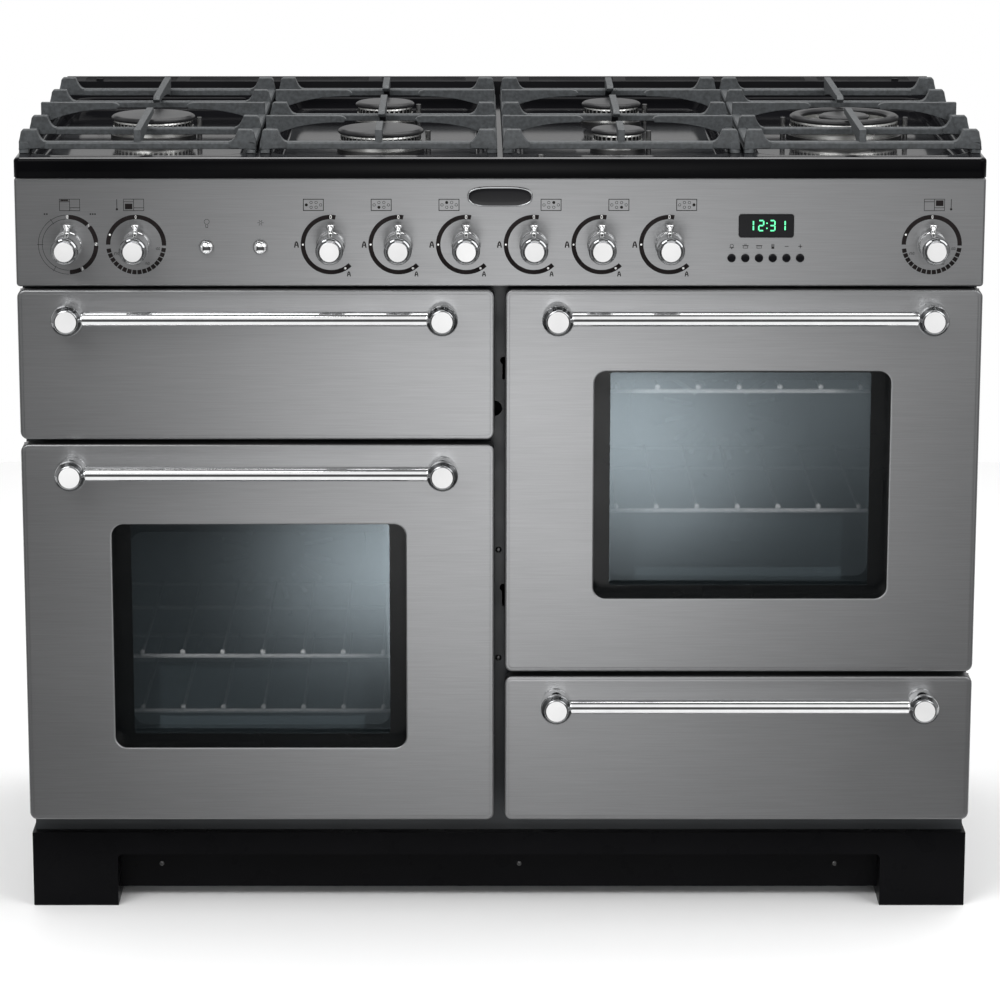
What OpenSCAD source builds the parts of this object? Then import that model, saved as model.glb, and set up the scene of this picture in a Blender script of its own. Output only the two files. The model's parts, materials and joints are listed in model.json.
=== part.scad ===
// Free-standing range cooker with a six-burner gas hob, two ovens, a grill and a storage drawer.
// Millimetres. X runs to the right, Y to the back, Z up. The origin is the middle of the
// footprint at floor level, handles included.

/* [Overall] */
// Width across the fascia and the hob rim
cooker_w = 1100; // [1090:2:1140]
// Depth of the body from the door fronts to the back of the flue trim
body_d = 600; // [596:2:640]
// Thickness of folded steel sheet
sheet = 2; // [1.8:0.1:2.2]
// Inset of the side panels behind the ends of the hob rim
side_inset = 3; // [2.6:0.1:3.4]
// Distance from the rear panel to the back of the flue trim
rear_space = 20; // [18:1:24]

/* [Plinth and base] */
// Height of the plinth
plinth_h = 90; // [84:1:100]
// Set-back of the plinth behind the door fronts
plinth_setback = 30; // [26:1:34]
// Width of each plinth leg
leg_w = 100; // [90:1:110]
// Depth of each plinth leg
leg_d = 100; // [90:1:120]
// Height of the toe recess
toe_h = 63; // [56:1:70]
// Depth of the toe recess
toe_d = 36; // [28:1:40]
// Corner radius of the toe recess
toe_r = 6; // [4:1:10]
// Gap between the floor and the toe panel
toe_lift = 12; // [8:1:16]
// Height of the folded edge of the base frame
base_edge_h = 20; // [16:1:24]
// Radius of a rear roller
roller_r = 25; // [22:1:27]
// Width of a rear roller
roller_w = 22; // [18:1:28]
// Distance of the roller axle from the rear panel
roller_back = 48; // [40:1:60]
// Inset of the rollers and the levelling feet from the ends of the body
foot_inset = 50; // [42:1:56]
// Radius of the pad of a levelling foot
foot_r = 18; // [14:1:22]
// Radius of the stem of a levelling foot
foot_stem_r = 5; // [4:0.5:6]

/* [Rear panel] */
// Width of the terminal cover
cover_w = 100; // [80:1:120]
// Height of the terminal cover
cover_h = 70; // [60:1:90]
// Distance of the terminal cover from the edge of the rear panel
cover_in = 60; // [40:1:80]
// Height of the terminal cover above the lowest front
cover_up = 30; // [20:1:60]
// Radius of the cable entry
cable_r = 6; // [5:0.5:8]
// Length of an air slot
air_slot_l = 180; // [140:2:200]
// Height of an air slot
air_slot_h = 5; // [4:0.5:6]
// Distance from one air slot to the next
air_slot_pitch = 12; // [10:0.5:13]

/* [Doors and drawer] */
// Gap between the plinth and the lowest doors
plinth_gap = 25; // [20:1:28]
// Height of an oven door
oven_door_h = 449.5; // [440:0.5:470]
// Height of the grill door and of the drawer front
small_front_h = 174; // [168:1:190]
// Gap between two fronts, one above the other
front_gap = 5.5; // [5:0.1:6]
// Gap between the left and the right column of fronts
centre_gap = 12; // [11:0.5:14]
// Inset of the fronts from the ends of the fascia
front_inset = 1; // [0.5:0.1:2]
// Full thickness of a door
door_t = 40; // [40:0.5:44]
// Depth of the folded skin of a door
skin_d = 22; // [21:0.5:24]
// Corner radius of a front
front_r = 9; // [7:0.5:12]
// Rounding of the front edges
edge_r = 5; // [4:0.5:6]
// Inset of the inner pan of a door
pan_inset = 12; // [12:0.5:15]
// Gap between a closed door and the front frame
seal_gap = 3; // [2.8:0.1:3.4]
// Width of the window
window_w = 339; // [320:1:350]
// Height of the window
window_h = 268; // [240:1:280]
// Corner radius of the window
window_r = 14; // [8:1:20]
// Height of the window above the bottom edge of its door
window_sill = 87.5; // [84:0.5:92]
// Thickness of a glass pane
glass_t = 4; // [3:0.5:5]
// Lap of the outer pane behind the door skin
glass_lap = 10; // [6:1:14]
// Width of the viewing hole in the inner pan
view_w = 300; // [280:1:310]
// Height of the viewing hole in the inner pan
view_h = 232; // [210:1:240]

/* [Handles] */
// Diameter of a handle bar
bar_d = 17; // [14:0.5:19]
// Distance from the door to the axis of the bar
bar_out = 28; // [26:0.5:30]
// Largest diameter of a handle boss
boss_d = 36; // [32:0.5:40]
// Diameter of the flat face of a handle boss
boss_face_d = 27; // [22:0.5:30]
// Reach of a handle boss in front of the door
handle_reach = 50; // [46:0.5:54]
// Inset of the bosses from the edges of the door
boss_inset = 59.5; // [55:0.5:70]
// Distance of the handle below the top of its door
handle_drop = 28.5; // [26:0.5:32]

/* [Hinges and runners] */
// Distance of a door axis from the hinged edge
hinge_in = 11; // [11:0.25:12]
// Distance of a door axis behind the door front
hinge_back = 20; // [19:0.5:20.5]
// Distance of the oven hinges from the top and bottom of the door
hinge_end = 90; // [80:1:110]
// Radius of an oven hinge pin
pin_r = 3; // [2.5:0.1:3.2]
// Radius of the end of an oven hinge arm
arm_r = 7; // [6.4:0.1:7.2]
// Thickness of a hinge arm
arm_t = 3; // [2.6:0.1:3.4]
// Height of the grill door axis above the bottom of the door
drop_up = 8; // [7.8:0.1:8.4]
// Distance of the grill door axis behind the door front
drop_back = 6.5; // [6.4:0.1:6.8]
// Inset of the grill hinge arms from the edges of the door
drop_inset = 30; // [28:1:34]
// Radius of a grill hinge pin
drop_pin_r = 2.2; // [2:0.1:2.4]
// Radius of the end of a grill hinge arm
drop_arm_r = 4; // [3.8:0.1:4.1]
// Radial clearance of a pin, axle or spindle in its bore
pin_fit = 0.05; // [0.03:0.01:0.09]
// Clearance at the sides of a hinge arm
arm_fit = 0.6; // [0.5:0.1:0.8]
// Gap between parts that slide past each other
slide_fit = 0.3; // [0.2:0.05:0.4]

/* [Ovens] */
// Width inside each oven and the grill
cavity_w = 440; // [420:1:450]
// Height inside an oven
cavity_h = 350; // [330:1:356]
// Depth inside an oven
cavity_d = 400; // [380:1:420]
// Height inside the grill compartment
grill_h = 135; // [126:1:140]
// Width of the flange around an oven or grill liner
flange_w = 15; // [12:1:18]
// Width of a door seal
seal_w = 12; // [9:1:14]
// Radius of the fan guard
guard_r = 112; // [100:1:120]
// Depth of the fan guard
guard_d = 32; // [30:1:36]
// Radius of a fan
fan_r = 70; // [60:1:78]
// Depth of a fan's blades
fan_d = 15; // [12:0.5:16]
// Radius of the heating ring around a fan
ring_r = 92; // [88:1:96]
// Radius of a heating tube
tube_r = 3.2; // [2.8:0.1:3.6]
// Radius of a fan motor
motor_r = 36; // [30:1:42]
// Length of a fan motor
motor_d = 60; // [50:1:70]
// Radius of a fan shaft
shaft_r = 4; // [3.5:0.1:4.5]
// Radius of an oven lamp lens
lamp_r = 22; // [18:1:26]
// Width of an oven shelf
shelf_w = 424; // [410:1:426]
// Depth of an oven shelf
shelf_d = 345; // [320:1:355]
// Distance of a shelf behind the oven mouth
shelf_back = 18; // [12:1:26]
// Radius of the frame wire of a shelf
shelf_wire_r = 2.5; // [2:0.1:3]
// Radius of the cross wires of a shelf
cross_wire_r = 1.75; // [1.5:0.05:2]
// Distance between cross wires
cross_pitch = 47.3; // [40:0.1:56]
// Length of a ladder rung
ladder_d = 340; // [320:1:345]
// Distance of the ladders behind the front frame
ladder_back = 20; // [16:1:24]
// Distance of a ladder's upright wires from the ends of its rungs
ladder_post = 40; // [30:1:60]
// Radius of a ladder wire
ladder_r = 2; // [1.8:0.1:2.2]
// Height of the low shelf above the oven floor
low_shelf_h = 65; // [50:1:90]
// Distance between the two shelves of the left oven
left_shelf_step = 67; // [60:1:100]
// Height of the low shelf of the right oven above the oven floor
right_shelf_h = 128; // [110:1:140]
// Distance between the two shelves of the right oven
right_shelf_step = 142; // [120:1:160]
// Width of the grill pan
pan_w = 396; // [380:1:410]
// Depth of the grill pan
pan_d = 330; // [300:1:350]
// Height of the grill pan
pan_h = 32; // [26:1:38]

/* [Drawer] */
// Space between the side of the drawer box and the edge of its front
box_side = 36.5; // [32:0.5:46]
// Depth of the drawer box
box_d = 430; // [400:1:450]
// Height of the drawer box
box_h = 112; // [100:1:116]
// Height of the drawer box above the bottom edge of its front
box_up = 8; // [7:1:12]
// Height of a drawer runner
runner_h = 20; // [16:1:26]
// Width of a drawer runner
runner_w = 12; // [10:1:16]
// Width of the drawer box's side lips
lip_w = 4.5; // [4:0.1:4.8]

/* [Fascia] */
// Gap between the doors and the fascia
fascia_gap = 2.5; // [2:0.1:4]
// Height of the fascia
fascia_h = 125.5; // [122:0.5:132]
// Set-back of the fascia behind the door fronts
fascia_setback = 7; // [5:0.5:9]
// Height of the knob axes above the bottom of the fascia
knob_up = 48.5; // [46:0.5:52]
// Distance of the outer knobs' axes from the side of the cooker
knob_inset = 60; // [50:1:70]
// Distance between the grill knob and the left oven knob
oven_knob_step = 77; // [76:0.5:84]
// Distance between two hob knobs
knob_pitch = 76.8; // [76:0.1:79]
// Largest radius of a knob
knob_r = 16.4; // [15:0.1:17.5]
// Radius of the flat face of a knob
knob_face_r = 11.4; // [10:0.1:12.5]
// Reach of a knob in front of the fascia
knob_reach = 54; // [50:0.5:55]
// Gap between a knob and the fascia
knob_gap = 1; // [0.6:0.1:1.5]
// Distance of the tip of the pointer peg from the knob axis
peg_reach = 25; // [22:0.5:28]
// Radius of the tip of the pointer peg
peg_tip_r = 5.2; // [4:0.1:6]
// Radius of the root of the pointer peg
peg_root_r = 3.5; // [3:0.1:4.2]
// Radius of a control spindle
spindle_r = 3; // [2.6:0.1:3.4]
// Radius of the light and ignition buttons
push_r = 8; // [7:0.1:9]
// Height of the push buttons above the bottom of the fascia
push_up = 45.5; // [42:0.5:50]
// Distance of the light button from the left side
light_inset = 217; // [212:1:222]
// Distance of the ignition button from the left side
spark_inset = 278; // [272:1:284]
// Travel of the push buttons
push_travel = 3; // [2:0.1:3.5]
// Width of the clock window
clock_w = 63; // [56:1:70]
// Height of the clock window
clock_h = 27; // [22:1:30]
// Distance of the clock's middle from the last hob knob
clock_gap = 110; // [104:1:116]
// Height of the clock above the bottom of the fascia
clock_up = 70; // [68:0.5:76]
// Radius of a clock button
key_r = 4.5; // [3.5:0.1:5]
// Distance between two clock buttons
key_pitch = 15.56; // [14:0.02:16]
// Height of the clock buttons above the bottom of the fascia
key_up = 33; // [32:0.5:36]
// Travel of a clock button
key_travel = 1; // [0.6:0.1:1.2]

/* [Hob] */
// Height of the hob rim
lip_h = 23; // [22:0.5:27]
// Set-back of the hob rim behind the door fronts
lip_setback = 2; // [1:0.5:4]
// Corner radius of the hob
hob_r = 8; // [6:0.5:12]
// Rounding of the top edge of the hob
hob_edge_r = 5; // [3:0.5:6]
// Thickness of the hob plate
hob_t = 3; // [2.6:0.1:3.2]
// Depth of the spill wells
well_depth = 14; // [12:0.5:15]
// Width of a spill well
well_w = 244; // [230:1:248]
// Corner radius of a spill well
well_r = 30; // [20:1:50]
// Front edge of the wells behind the rim
well_front = 20; // [18:1:24]
// Back edge of the wells behind the rim
well_back = 529; // [524:1:531]
// Front of the flue trim behind the rim
vent_front = 545; // [540:1:548]
// Height of the flue trim above the hob rim
vent_rise = 18; // [14:1:24]
// Width of one flue slot row
vent_slot = 6; // [4:0.5:8]
// Distance from one row of flue slots to the next
slot_row_pitch = 12; // [11:0.5:14]
// Distance of the first flue slots from the middle
slot_mid = 40; // [20:1:60]
// Distance from one flue slot to the next along a row
slot_land = 16; // [12:1:24]
// Distance of the outer flue slots' ends from the end of the trim
slot_end = 26; // [20:1:40]
// Distance of the flue trim's bolts from its ends
bolt_inset = 45; // [38:1:60]
// Distance from the middle to the inner pan supports
inner_x = 138; // [137:0.5:140]
// Distance from the middle to the outer pan supports
outer_x = 412; // [411:0.5:413]
// Width of a pan support
grate_w = 269; // [264:1:271]
// First station of the pan supports behind the rim
station_first = 39; // [34:1:44]
// Distance between stations of the pan supports
station_pitch = 118.25; // [114:0.25:119]
// Height of the pan rest above the hob rim
grate_rise = 27; // [24:0.5:30]
// Height of the rails of a pan support above the hob rim
rail_rise = 13.5; // [12:0.5:15]
// Height of the feet of a pan support
grate_foot = 5; // [4:0.5:6]
// Width of the rails of a pan support
rail_w = 11; // [9:0.5:12]
// Thickness of the fingers of a pan support
finger_t = 8; // [7:0.5:10]
// Width of the raised end blocks
horn_w = 21.5; // [18:0.5:24]
// Depth of the raised end blocks
horn_t = 12; // [10:0.5:14]
// Free space between the fingers and the middle of a burner
finger_free = 40; // [36:1:46]
// Radius of the large burner caps
large_cap_r = 50; // [44:1:52]
// Radius of the medium burner caps
medium_cap_r = 36; // [32:1:40]
// Radius of the small burner cap
small_cap_r = 31; // [26:1:31]
// Radius of the outer ring of the wok burner
wok_r = 65; // [60:1:70]
// Height of the burner tops above the hob rim
burner_rise = 13; // [10:0.5:16]
// Radius of the wok burner's middle cap
wok_mid_r = 30; // [26:1:34]
// Width of the wok burner's ring cap
wok_ring_w = 14; // [12:1:18]

/* [Hidden] */

// Extra length of a cutter past the face that it opens
cut = 1;
// Points on a rounded corner of an outline
corner_n = 5;

// Planes from front to back
back_y = (body_d + handle_reach) / 2;
door_y = back_y - body_d;
frame_y = door_y + door_t + seal_gap;
inner_y = frame_y + sheet;
rear_y = back_y - rear_space - sheet;
fascia_y = door_y + fascia_setback;
fascia_in_y = fascia_y + sheet;
lip_y = door_y + lip_setback;
plinth_y = door_y + plinth_setback;
toe_y = plinth_y + toe_d;
vent_y = lip_y + vent_front;
cavity_back_y = inner_y + cavity_d;

// Levels from the floor up
doors_z = plinth_h + plinth_gap;
left_door_top = doors_z + oven_door_h;
grill_z = left_door_top + front_gap;
right_door_z = doors_z + small_front_h + front_gap;
doors_top = grill_z + small_front_h;
fascia_z = doors_top + fascia_gap;
fascia_top = fascia_z + fascia_h;
rim_z = fascia_top + lip_h;
knob_z = fascia_z + knob_up;
well_z = rim_z - well_depth;
rail_z = rim_z + grate_foot;
grate_z = rim_z + grate_rise;
frame_top = fascia_z + 22;

// Places across the width
half_w = cooker_w / 2;
body_x = half_w - side_inset;
inner_x_max = body_x - sheet;
outer_knob_x = half_w - knob_inset;
light_x = half_w - light_inset;
spark_x = half_w - spark_inset;
front_w = half_w - front_inset - centre_gap / 2;
col_x = centre_gap / 2 + front_w / 2;
hinge_x = col_x + front_w / 2 - hinge_in;
hinge_y = door_y + hinge_back;
drop_y = door_y + drop_back;
drop_z = grill_z + drop_up;
drop_x = front_w / 2 - drop_inset;
foot_x = half_w - foot_inset;
foot_y = plinth_y + leg_d / 2;
roller_y = rear_y - roller_back;

// Centres of the two ovens and the grill compartment
left_oven_z = doors_z + oven_door_h / 2;
right_oven_z = right_door_z + oven_door_h / 2;
grill_mid_z = grill_z + small_front_h / 2;

// Drawer levels
box_w = front_w - 2 * box_side;
box_z = doors_z + box_up;
lip_z = box_z + box_h - 9;
bay_gap = 5;
runner_play = 0.5;

hinge_block = 14;
pin_bite = hinge_block - 2;

// Oven hinge heights of the two doors
left_hinge_zs = [doors_z + hinge_end, left_door_top - hinge_end];
right_hinge_zs = [right_door_z + hinge_end, doors_top - hinge_end];

// Burner places as [x, distance behind the rim, cap radius]
station = [for (i = [0:4]) station_first + i * station_pitch];
burners = [
    [-outer_x, station[2], large_cap_r],
    [-inner_x, station[1], large_cap_r],
    [-inner_x, station[3], medium_cap_r],
    [inner_x, station[3], medium_cap_r],
    [inner_x, station[1], small_cap_r],
    [outer_x, station[2], large_cap_r]];
hob_knob_xs = [for (i = [0:5]) (i - 2.5) * knob_pitch];
clock_x = hob_knob_xs[5] + clock_gap;
key_xs = [for (i = [0:5]) clock_x + (i - 2.5) * key_pitch];

// Burner base, injector block and gas tube sizes
slot_mid_over = 8;
slot_end_over = 8;
bolt_back = 6.5;

base_lip = 4;
base_t = 4;
skirt_r = 22;
skirt_play = 0.3;
spark_r = 3;
spark_low = 4;
injector = 30;
feed_r = 4;
feed_drop = 36;
feed_z = well_z - feed_drop;
feed_in = 10;
element_front = 60;
element_back = 40;
element_leg = 20;

// Gas rail, tap and switch sizes
tap = 24;
tap_d = 40;
rail_side = 16;
tap_back_y = fascia_in_y + tap_d;
supply_x = hob_knob_xs[5] + knob_pitch / 2;
supply_r = 7.5;
nipple_r = 10.5;
switch_side = 40;
switch_d = 30;
push_box = 24;
push_box_d = 26;
push_rest = 1;
spindle_hole_r = spindle_r + 2;
spindle_end = 0.4;
hub_depth = 13.6;
leg_step = 0.6;
hole_play = 0.2;
lamp_step = 4;
fan_gap = 7;
shaft_l = fan_d + fan_gap;
push_hole_gap = 0.3;
button_back = 6;
button_out = 5;
clock_r = 3.5;
key_out = 3;
key_in = 4;
key_rest = 0.5;

// Colours used more than once
steel = "silver";
black = "black";

// A rounded rectangle in the XZ plane, as points counted anticlockwise
function round_rect(w, h, r) = [for (q = [0:3]) for (k = [0:corner_n])
    let (a = 90 * q + 90 * k / corner_n,
        sx = (q == 0 || q == 3) ? 1 : -1,
        sz = q < 2 ? 1 : -1)
    [sx * (w / 2 - r) + r * cos(a), sz * (h / 2 - r) + r * sin(a)]];

// Stands a flat outline up in the XZ plane and thickens it towards the back
module upright(t) {
    rotate([90, 0, 0])
        mirror([0, 0, 1])
            linear_extrude(t)
                children();
}

// A box given by its lowest corner and its highest corner
module block(a, b) {
    translate(a)
        cube(b - a);
}

// A round bar along Y from its front end
module y_rod(r, l) {
    rotate([-90, 0, 0])
        cylinder(r = r, h = l, $fn = 48);
}

// A round bar along X from its left end
module x_rod(r, l) {
    rotate([0, 90, 0])
        cylinder(r = r, h = l, $fn = 48);
}

// A slab with rounded corners and a rounded edge, as rings from its face at level 0 down to t
module soft_slab(w, h, r, e, t) {
    steps = 4;
    rings = concat(
        [for (j = [0:steps]) let (a = 90 * j / steps) [e * (1 - sin(a)), e * (1 - cos(a))]],
        [[0, t]]);
    count = 4 * (corner_n + 1);
    last = len(rings) - 1;
    points = [for (g = rings) for (p = round_rect(w - 2 * g[0], h - 2 * g[0], r - g[0] + 0.5))
        [p[0], g[1], p[1]]];
    sides = [for (j = [0:last - 1]) for (i = [0:count - 1])
        let (n = (i + 1) % count)
        [j * count + i, j * count + n, (j + 1) * count + n, (j + 1) * count + i]];
    face = [[for (i = [0:count - 1]) count - 1 - i]];
    back = [[for (i = [0:count - 1]) last * count + i]];
    polyhedron(points, concat(sides, face, back));
}

// The folded skin of a front, centred on its own middle, open at the back
module front_skin(h) {
    difference() {
        soft_slab(front_w, h, front_r, edge_r, skin_d);
        block([-front_w / 2 + sheet, sheet, -h / 2 + sheet],
            [front_w / 2 - sheet, skin_d + cut, h / 2 - sheet]);
    }
}

// The room that an oven hinge arm needs in a door, at the axis, hinged on the side given by s
module arm_room(s) {
    half = arm_t / 2 + arm_fit;
    inward = arm_r + 2;
    forward = arm_r + 5;
    mirror([s < 0 ? 1 : 0, 0, 0])
        block([-inward, -forward, -half], [hinge_in + cut, door_t, half]);
}

// The skin of an oven door, hinged on the side given by s
module oven_skin(x, z, hinge_zs, s) {
    color(steel)
        difference() {
            translate([x, door_y, z + oven_door_h / 2])
                front_skin(oven_door_h);
            translate([x, door_y - cut, z + window_sill + window_h / 2])
                upright(sheet + 2 * cut)
                    polygon(round_rect(window_w, window_h, window_r));
            for (hz = hinge_zs)
                translate([s * hinge_x, hinge_y, hz])
                    arm_room(s);
        }
}

// The outer and inner panes of an oven door
module oven_glass(x, z) {
    mid = z + window_sill + window_h / 2;
    color("darkslategray") {
        translate([x, door_y + sheet, mid])
            upright(glass_t)
                polygon(round_rect(window_w + 2 * glass_lap, window_h + 2 * glass_lap,
                    window_r));
        translate([x, door_y + door_t - sheet - glass_t, mid])
            upright(glass_t)
                polygon(round_rect(view_w + 2 * glass_lap, view_h + 2 * glass_lap, window_r));
    }
}

// The inner pan of a door: a flange inside the skin and a raised box behind it
module door_pan(h) {
    fw = front_w / 2 - sheet;
    fh = h / 2 - sheet;
    bw = front_w / 2 - pan_inset;
    bh = h / 2 - pan_inset;
    difference() {
        union() {
            block([-fw, skin_d - sheet, -fh], [fw, skin_d, fh]);
            block([-bw, skin_d - sheet, -bh], [bw, door_t, bh]);
        }
        block([-bw + sheet, skin_d - sheet - cut, -bh + sheet],
            [bw - sheet, door_t - sheet, bh - sheet]);
    }
}

// The inner pan of an oven door with its hinge blocks
module oven_pan(x, z, hinge_zs, s) {
    side = s < 0 ? 1 : 0;
    high = arm_t / 2 + arm_fit + hinge_block;
    color("dimgray")
        difference() {
            union() {
                translate([x, door_y, z + oven_door_h / 2])
                    door_pan(oven_door_h);
                for (hz = hinge_zs)
                    translate([s * hinge_x, hinge_y, hz])
                        mirror([side, 0, 0])
                            block([-pan_inset - sheet, -hinge_back + sheet + glass_t, -high],
                                [hinge_in - sheet, door_t - hinge_back - sheet, high]);
            }
            translate([x, door_y + door_t - sheet - cut, z + window_sill + window_h / 2])
                upright(sheet + 2 * cut)
                    polygon(round_rect(view_w, view_h, window_r));
            for (hz = hinge_zs)
                translate([s * hinge_x, hinge_y, hz]) {
                    arm_room(s);
                    translate([0, 0, -high - cut])
                        cylinder(r = pin_r + pin_fit, h = 2 * (high + cut), $fn = 48);
                }
        }
}

// A bar handle with two turned end bosses, below the top edge of a front
module handle(x, top) {
    half = front_w / 2 - boss_inset;
    r = boss_d / 2;
    color("gainsboro")
        translate([x, door_y, top - handle_drop]) {
            translate([-half, -bar_out, 0])
                x_rod(bar_d / 2, 2 * half);
            for (sx = [-1, 1])
                translate([sx * half, 0, 0])
                    rotate([90, 0, 0])
                        rotate_extrude($fn = 64)
                            polygon([[0, 0], [r - 3, 0], [r - 3, 5], [r - 4.5, 8], [r - 4.5, 14],
                                [r - 1, 17], [r, 20], [r, handle_reach - 9],
                                [r - 1.2, handle_reach - 5], [boss_face_d / 2 + 1.2, handle_reach - 1],
                                [boss_face_d / 2, handle_reach], [0, handle_reach]]);
        }
}

// The room that a grill hinge arm needs in the door, at the axis
module drop_room() {
    half = arm_t / 2 + arm_fit;
    front = drop_arm_r + 0.3;
    block([-half, -front, -drop_up - cut], [half, door_t, drop_arm_r + 3]);
}

// The skin of the grill door
module grill_skin() {
    color(steel)
        difference() {
            translate([-col_x, door_y, grill_mid_z])
                front_skin(small_front_h);
            for (sx = [-1, 1])
                translate([-col_x + sx * drop_x, drop_y, drop_z])
                    drop_room();
        }
}

// The inner pan of the grill door with its hinge blocks
module grill_pan_liner() {
    side = 16;
    front = drop_back - sheet;
    color("dimgray")
        difference() {
            union() {
                translate([-col_x, door_y, grill_mid_z])
                    door_pan(small_front_h);
                for (sx = [-1, 1])
                    translate([-col_x + sx * drop_x, drop_y, drop_z])
                        block([-side, -front, sheet - drop_up],
                            [side, door_t - drop_back - sheet, pan_inset]);
            }
            for (sx = [-1, 1])
                translate([-col_x + sx * drop_x, drop_y, drop_z]) {
                    drop_room();
                    translate([-side - cut, 0, 0])
                        x_rod(drop_pin_r + pin_fit, 2 * (side + cut));
                }
        }
}

// The drawer front
module drawer_skin() {
    color(steel)
        translate([col_x, door_y, doors_z + small_front_h / 2])
            front_skin(small_front_h);
}

// The drawer box, its front wall inside the skin and its side lips on the runners
module drawer_tub() {
    y0 = door_y + skin_d;
    half = box_w / 2;
    color("dimgray")
        translate([col_x, 0, 0]) {
            block([-front_w / 2 + sheet, y0 - sheet, doors_z + sheet],
                [front_w / 2 - sheet, y0, doors_z + small_front_h - sheet]);
            difference() {
                block([-half, y0, box_z], [half, y0 + box_d, box_z + box_h]);
                block([-half + sheet, y0 + sheet, box_z + sheet],
                    [half - sheet, y0 + box_d - sheet, box_z + box_h + cut]);
            }
            for (sx = [-1, 1])
                translate([sx * (half + lip_w / 2), 0, 0])
                    block([-lip_w / 2, inner_y + slide_fit, lip_z],
                        [lip_w / 2, y0 + box_d, lip_z + sheet]);
        }
}

// The bottom tray of the body, with its roller forks and levelling nuts
module base_frame() {
    fork = roller_w / 2 + 1;
    fork_half = 15;
    fork_low = roller_r - 8;
    shaft_end = 3;
    nut = foot_stem_r + 6;
    nut_h = 30;
    color("dimgray")
        difference() {
            union() {
                difference() {
                    block([-inner_x_max, inner_y, plinth_h],
                        [inner_x_max, rear_y, plinth_h + base_edge_h]);
                    block([-inner_x_max + sheet, inner_y + sheet, plinth_h + sheet],
                        [inner_x_max - sheet, rear_y - sheet, plinth_h + base_edge_h + cut]);
                }
                for (sx = [-1, 1]) {
                    for (sf = [-1, 1])
                        translate([sx * foot_x + sf * (fork + sheet / 2), roller_y, 0])
                            block([-sheet / 2, -fork_half, fork_low], [sheet / 2, fork_half, plinth_h]);
                    translate([sx * foot_x - fork - sheet - shaft_end, roller_y, roller_r])
                        x_rod(shaft_r, 2 * (fork + sheet + shaft_end));
                    translate([sx * foot_x, foot_y, 0])
                        block([-nut, -nut, plinth_h - nut_h], [nut, nut, plinth_h]);
                }
            }
            for (sx = [-1, 1])
                translate([sx * foot_x, foot_y, plinth_h - nut_h - cut])
                    cylinder(r = foot_stem_r + pin_fit, h = nut_h + cut, $fn = 48);
        }
}

// The pair of rear rollers on their common axis
module rear_rollers() {
    color(black)
        for (sx = [-1, 1])
            translate([sx * foot_x - roller_w / 2, roller_y, roller_r])
                difference() {
                    x_rod(roller_r, roller_w);
                    translate([-cut, 0, 0])
                        x_rod(shaft_r + pin_fit, roller_w + 2 * cut);
                }
}

// The pair of front levelling feet
module levelling_feet() {
    pad_h = 8;
    below_top = 2;
    color("gray")
        for (sx = [-1, 1])
            translate([sx * foot_x, foot_y, 0]) {
                cylinder(r = foot_r, h = pad_h, $fn = 64);
                translate([0, 0, pad_h])
                    cylinder(r = foot_stem_r, h = plinth_h - pad_h - below_top, $fn = 48);
            }
}

// The left and right outer panels, from the plinth up to the underside of the hob plate
module side_panels() {
    color(black)
        for (sx = [-1, 1])
            translate([sx * (body_x - sheet / 2), 0, 0])
                block([-sheet / 2, inner_y, plinth_h],
                    [sheet / 2, rear_y + sheet, rim_z - hob_t]);
}

// The rear panel with its air slots, its gas inlet hole and the terminal cover
module rear_panel() {
    slot_n = 6;
    slots_z = fascia_z - 20;
    cover_x = -inner_x_max + cover_in;
    cover_z = doors_z + cover_up;
    cable_l = 30;
    color("gray")
        difference() {
            block([-inner_x_max, rear_y, plinth_h], [inner_x_max, rear_y + sheet, fascia_top]);
            translate([supply_x, rear_y - cut, knob_z])
                y_rod(supply_r + 1, sheet + 2 * cut);
            for (sx = [-1, 1])
                for (i = [0:slot_n - 1])
                    translate([sx * col_x, 0, slots_z + air_slot_pitch * i])
                        block([-air_slot_l / 2, rear_y - cut, 0],
                            [air_slot_l / 2, rear_y + sheet + cut, air_slot_h]);
        }
    color(black)
        difference() {
            block([cover_x, rear_y + sheet, cover_z],
                [cover_x + cover_w, back_y, cover_z + cover_h]);
            translate([cover_x + cover_w / 2, (rear_y + sheet + back_y) / 2 - 1, cover_z - cut])
                cylinder(r = cable_r, h = cable_l, $fn = 32);
        }
}

// The openings of one cavity through the front frame
module mouth(x, mid_z, w, h) {
    block([x - w / 2, frame_y - cut, mid_z - h / 2], [x + w / 2, inner_y + cut, mid_z + h / 2]);
}

// The front frame with its oven, grill and drawer openings and its hinge slots
module front_frame() {
    bay_w = box_w + 2 * bay_gap;
    slot_play = 0.5;
    stud_r = 9;
    stud_up = 28;
    left_key_x = -centre_gap / 2 - 4;
    right_key_x = centre_gap / 2 - 1;
    color("gray")
        difference() {
            block([-body_x, frame_y, plinth_h], [body_x, inner_y, frame_top]);
            mouth(-col_x, left_oven_z, cavity_w, cavity_h);
            mouth(col_x, right_oven_z, cavity_w, cavity_h);
            mouth(-col_x, grill_mid_z, cavity_w, grill_h);
            mouth(col_x, box_z + box_h / 2, bay_w, box_h + 2 * bay_gap);
            for (hz = left_hinge_zs) {
                frame_slot(-hinge_x, hz);
                keyhole(left_key_x, hz);
            }
            for (hz = right_hinge_zs) {
                frame_slot(hinge_x, hz);
                keyhole(right_key_x, hz);
            }
            for (sx = [-1, 1])
                translate([-col_x + sx * drop_x, 0, drop_z])
                    block([-arm_t / 2 - slot_play, frame_y - cut, -drop_arm_r - slot_play],
                        [arm_t / 2 + slot_play, inner_y + cut, drop_arm_r + slot_play]);
            translate([-centre_gap / 2, frame_y - cut, grill_z + stud_up])
                y_rod(stud_r, sheet + 2 * cut);
        }
}

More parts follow.
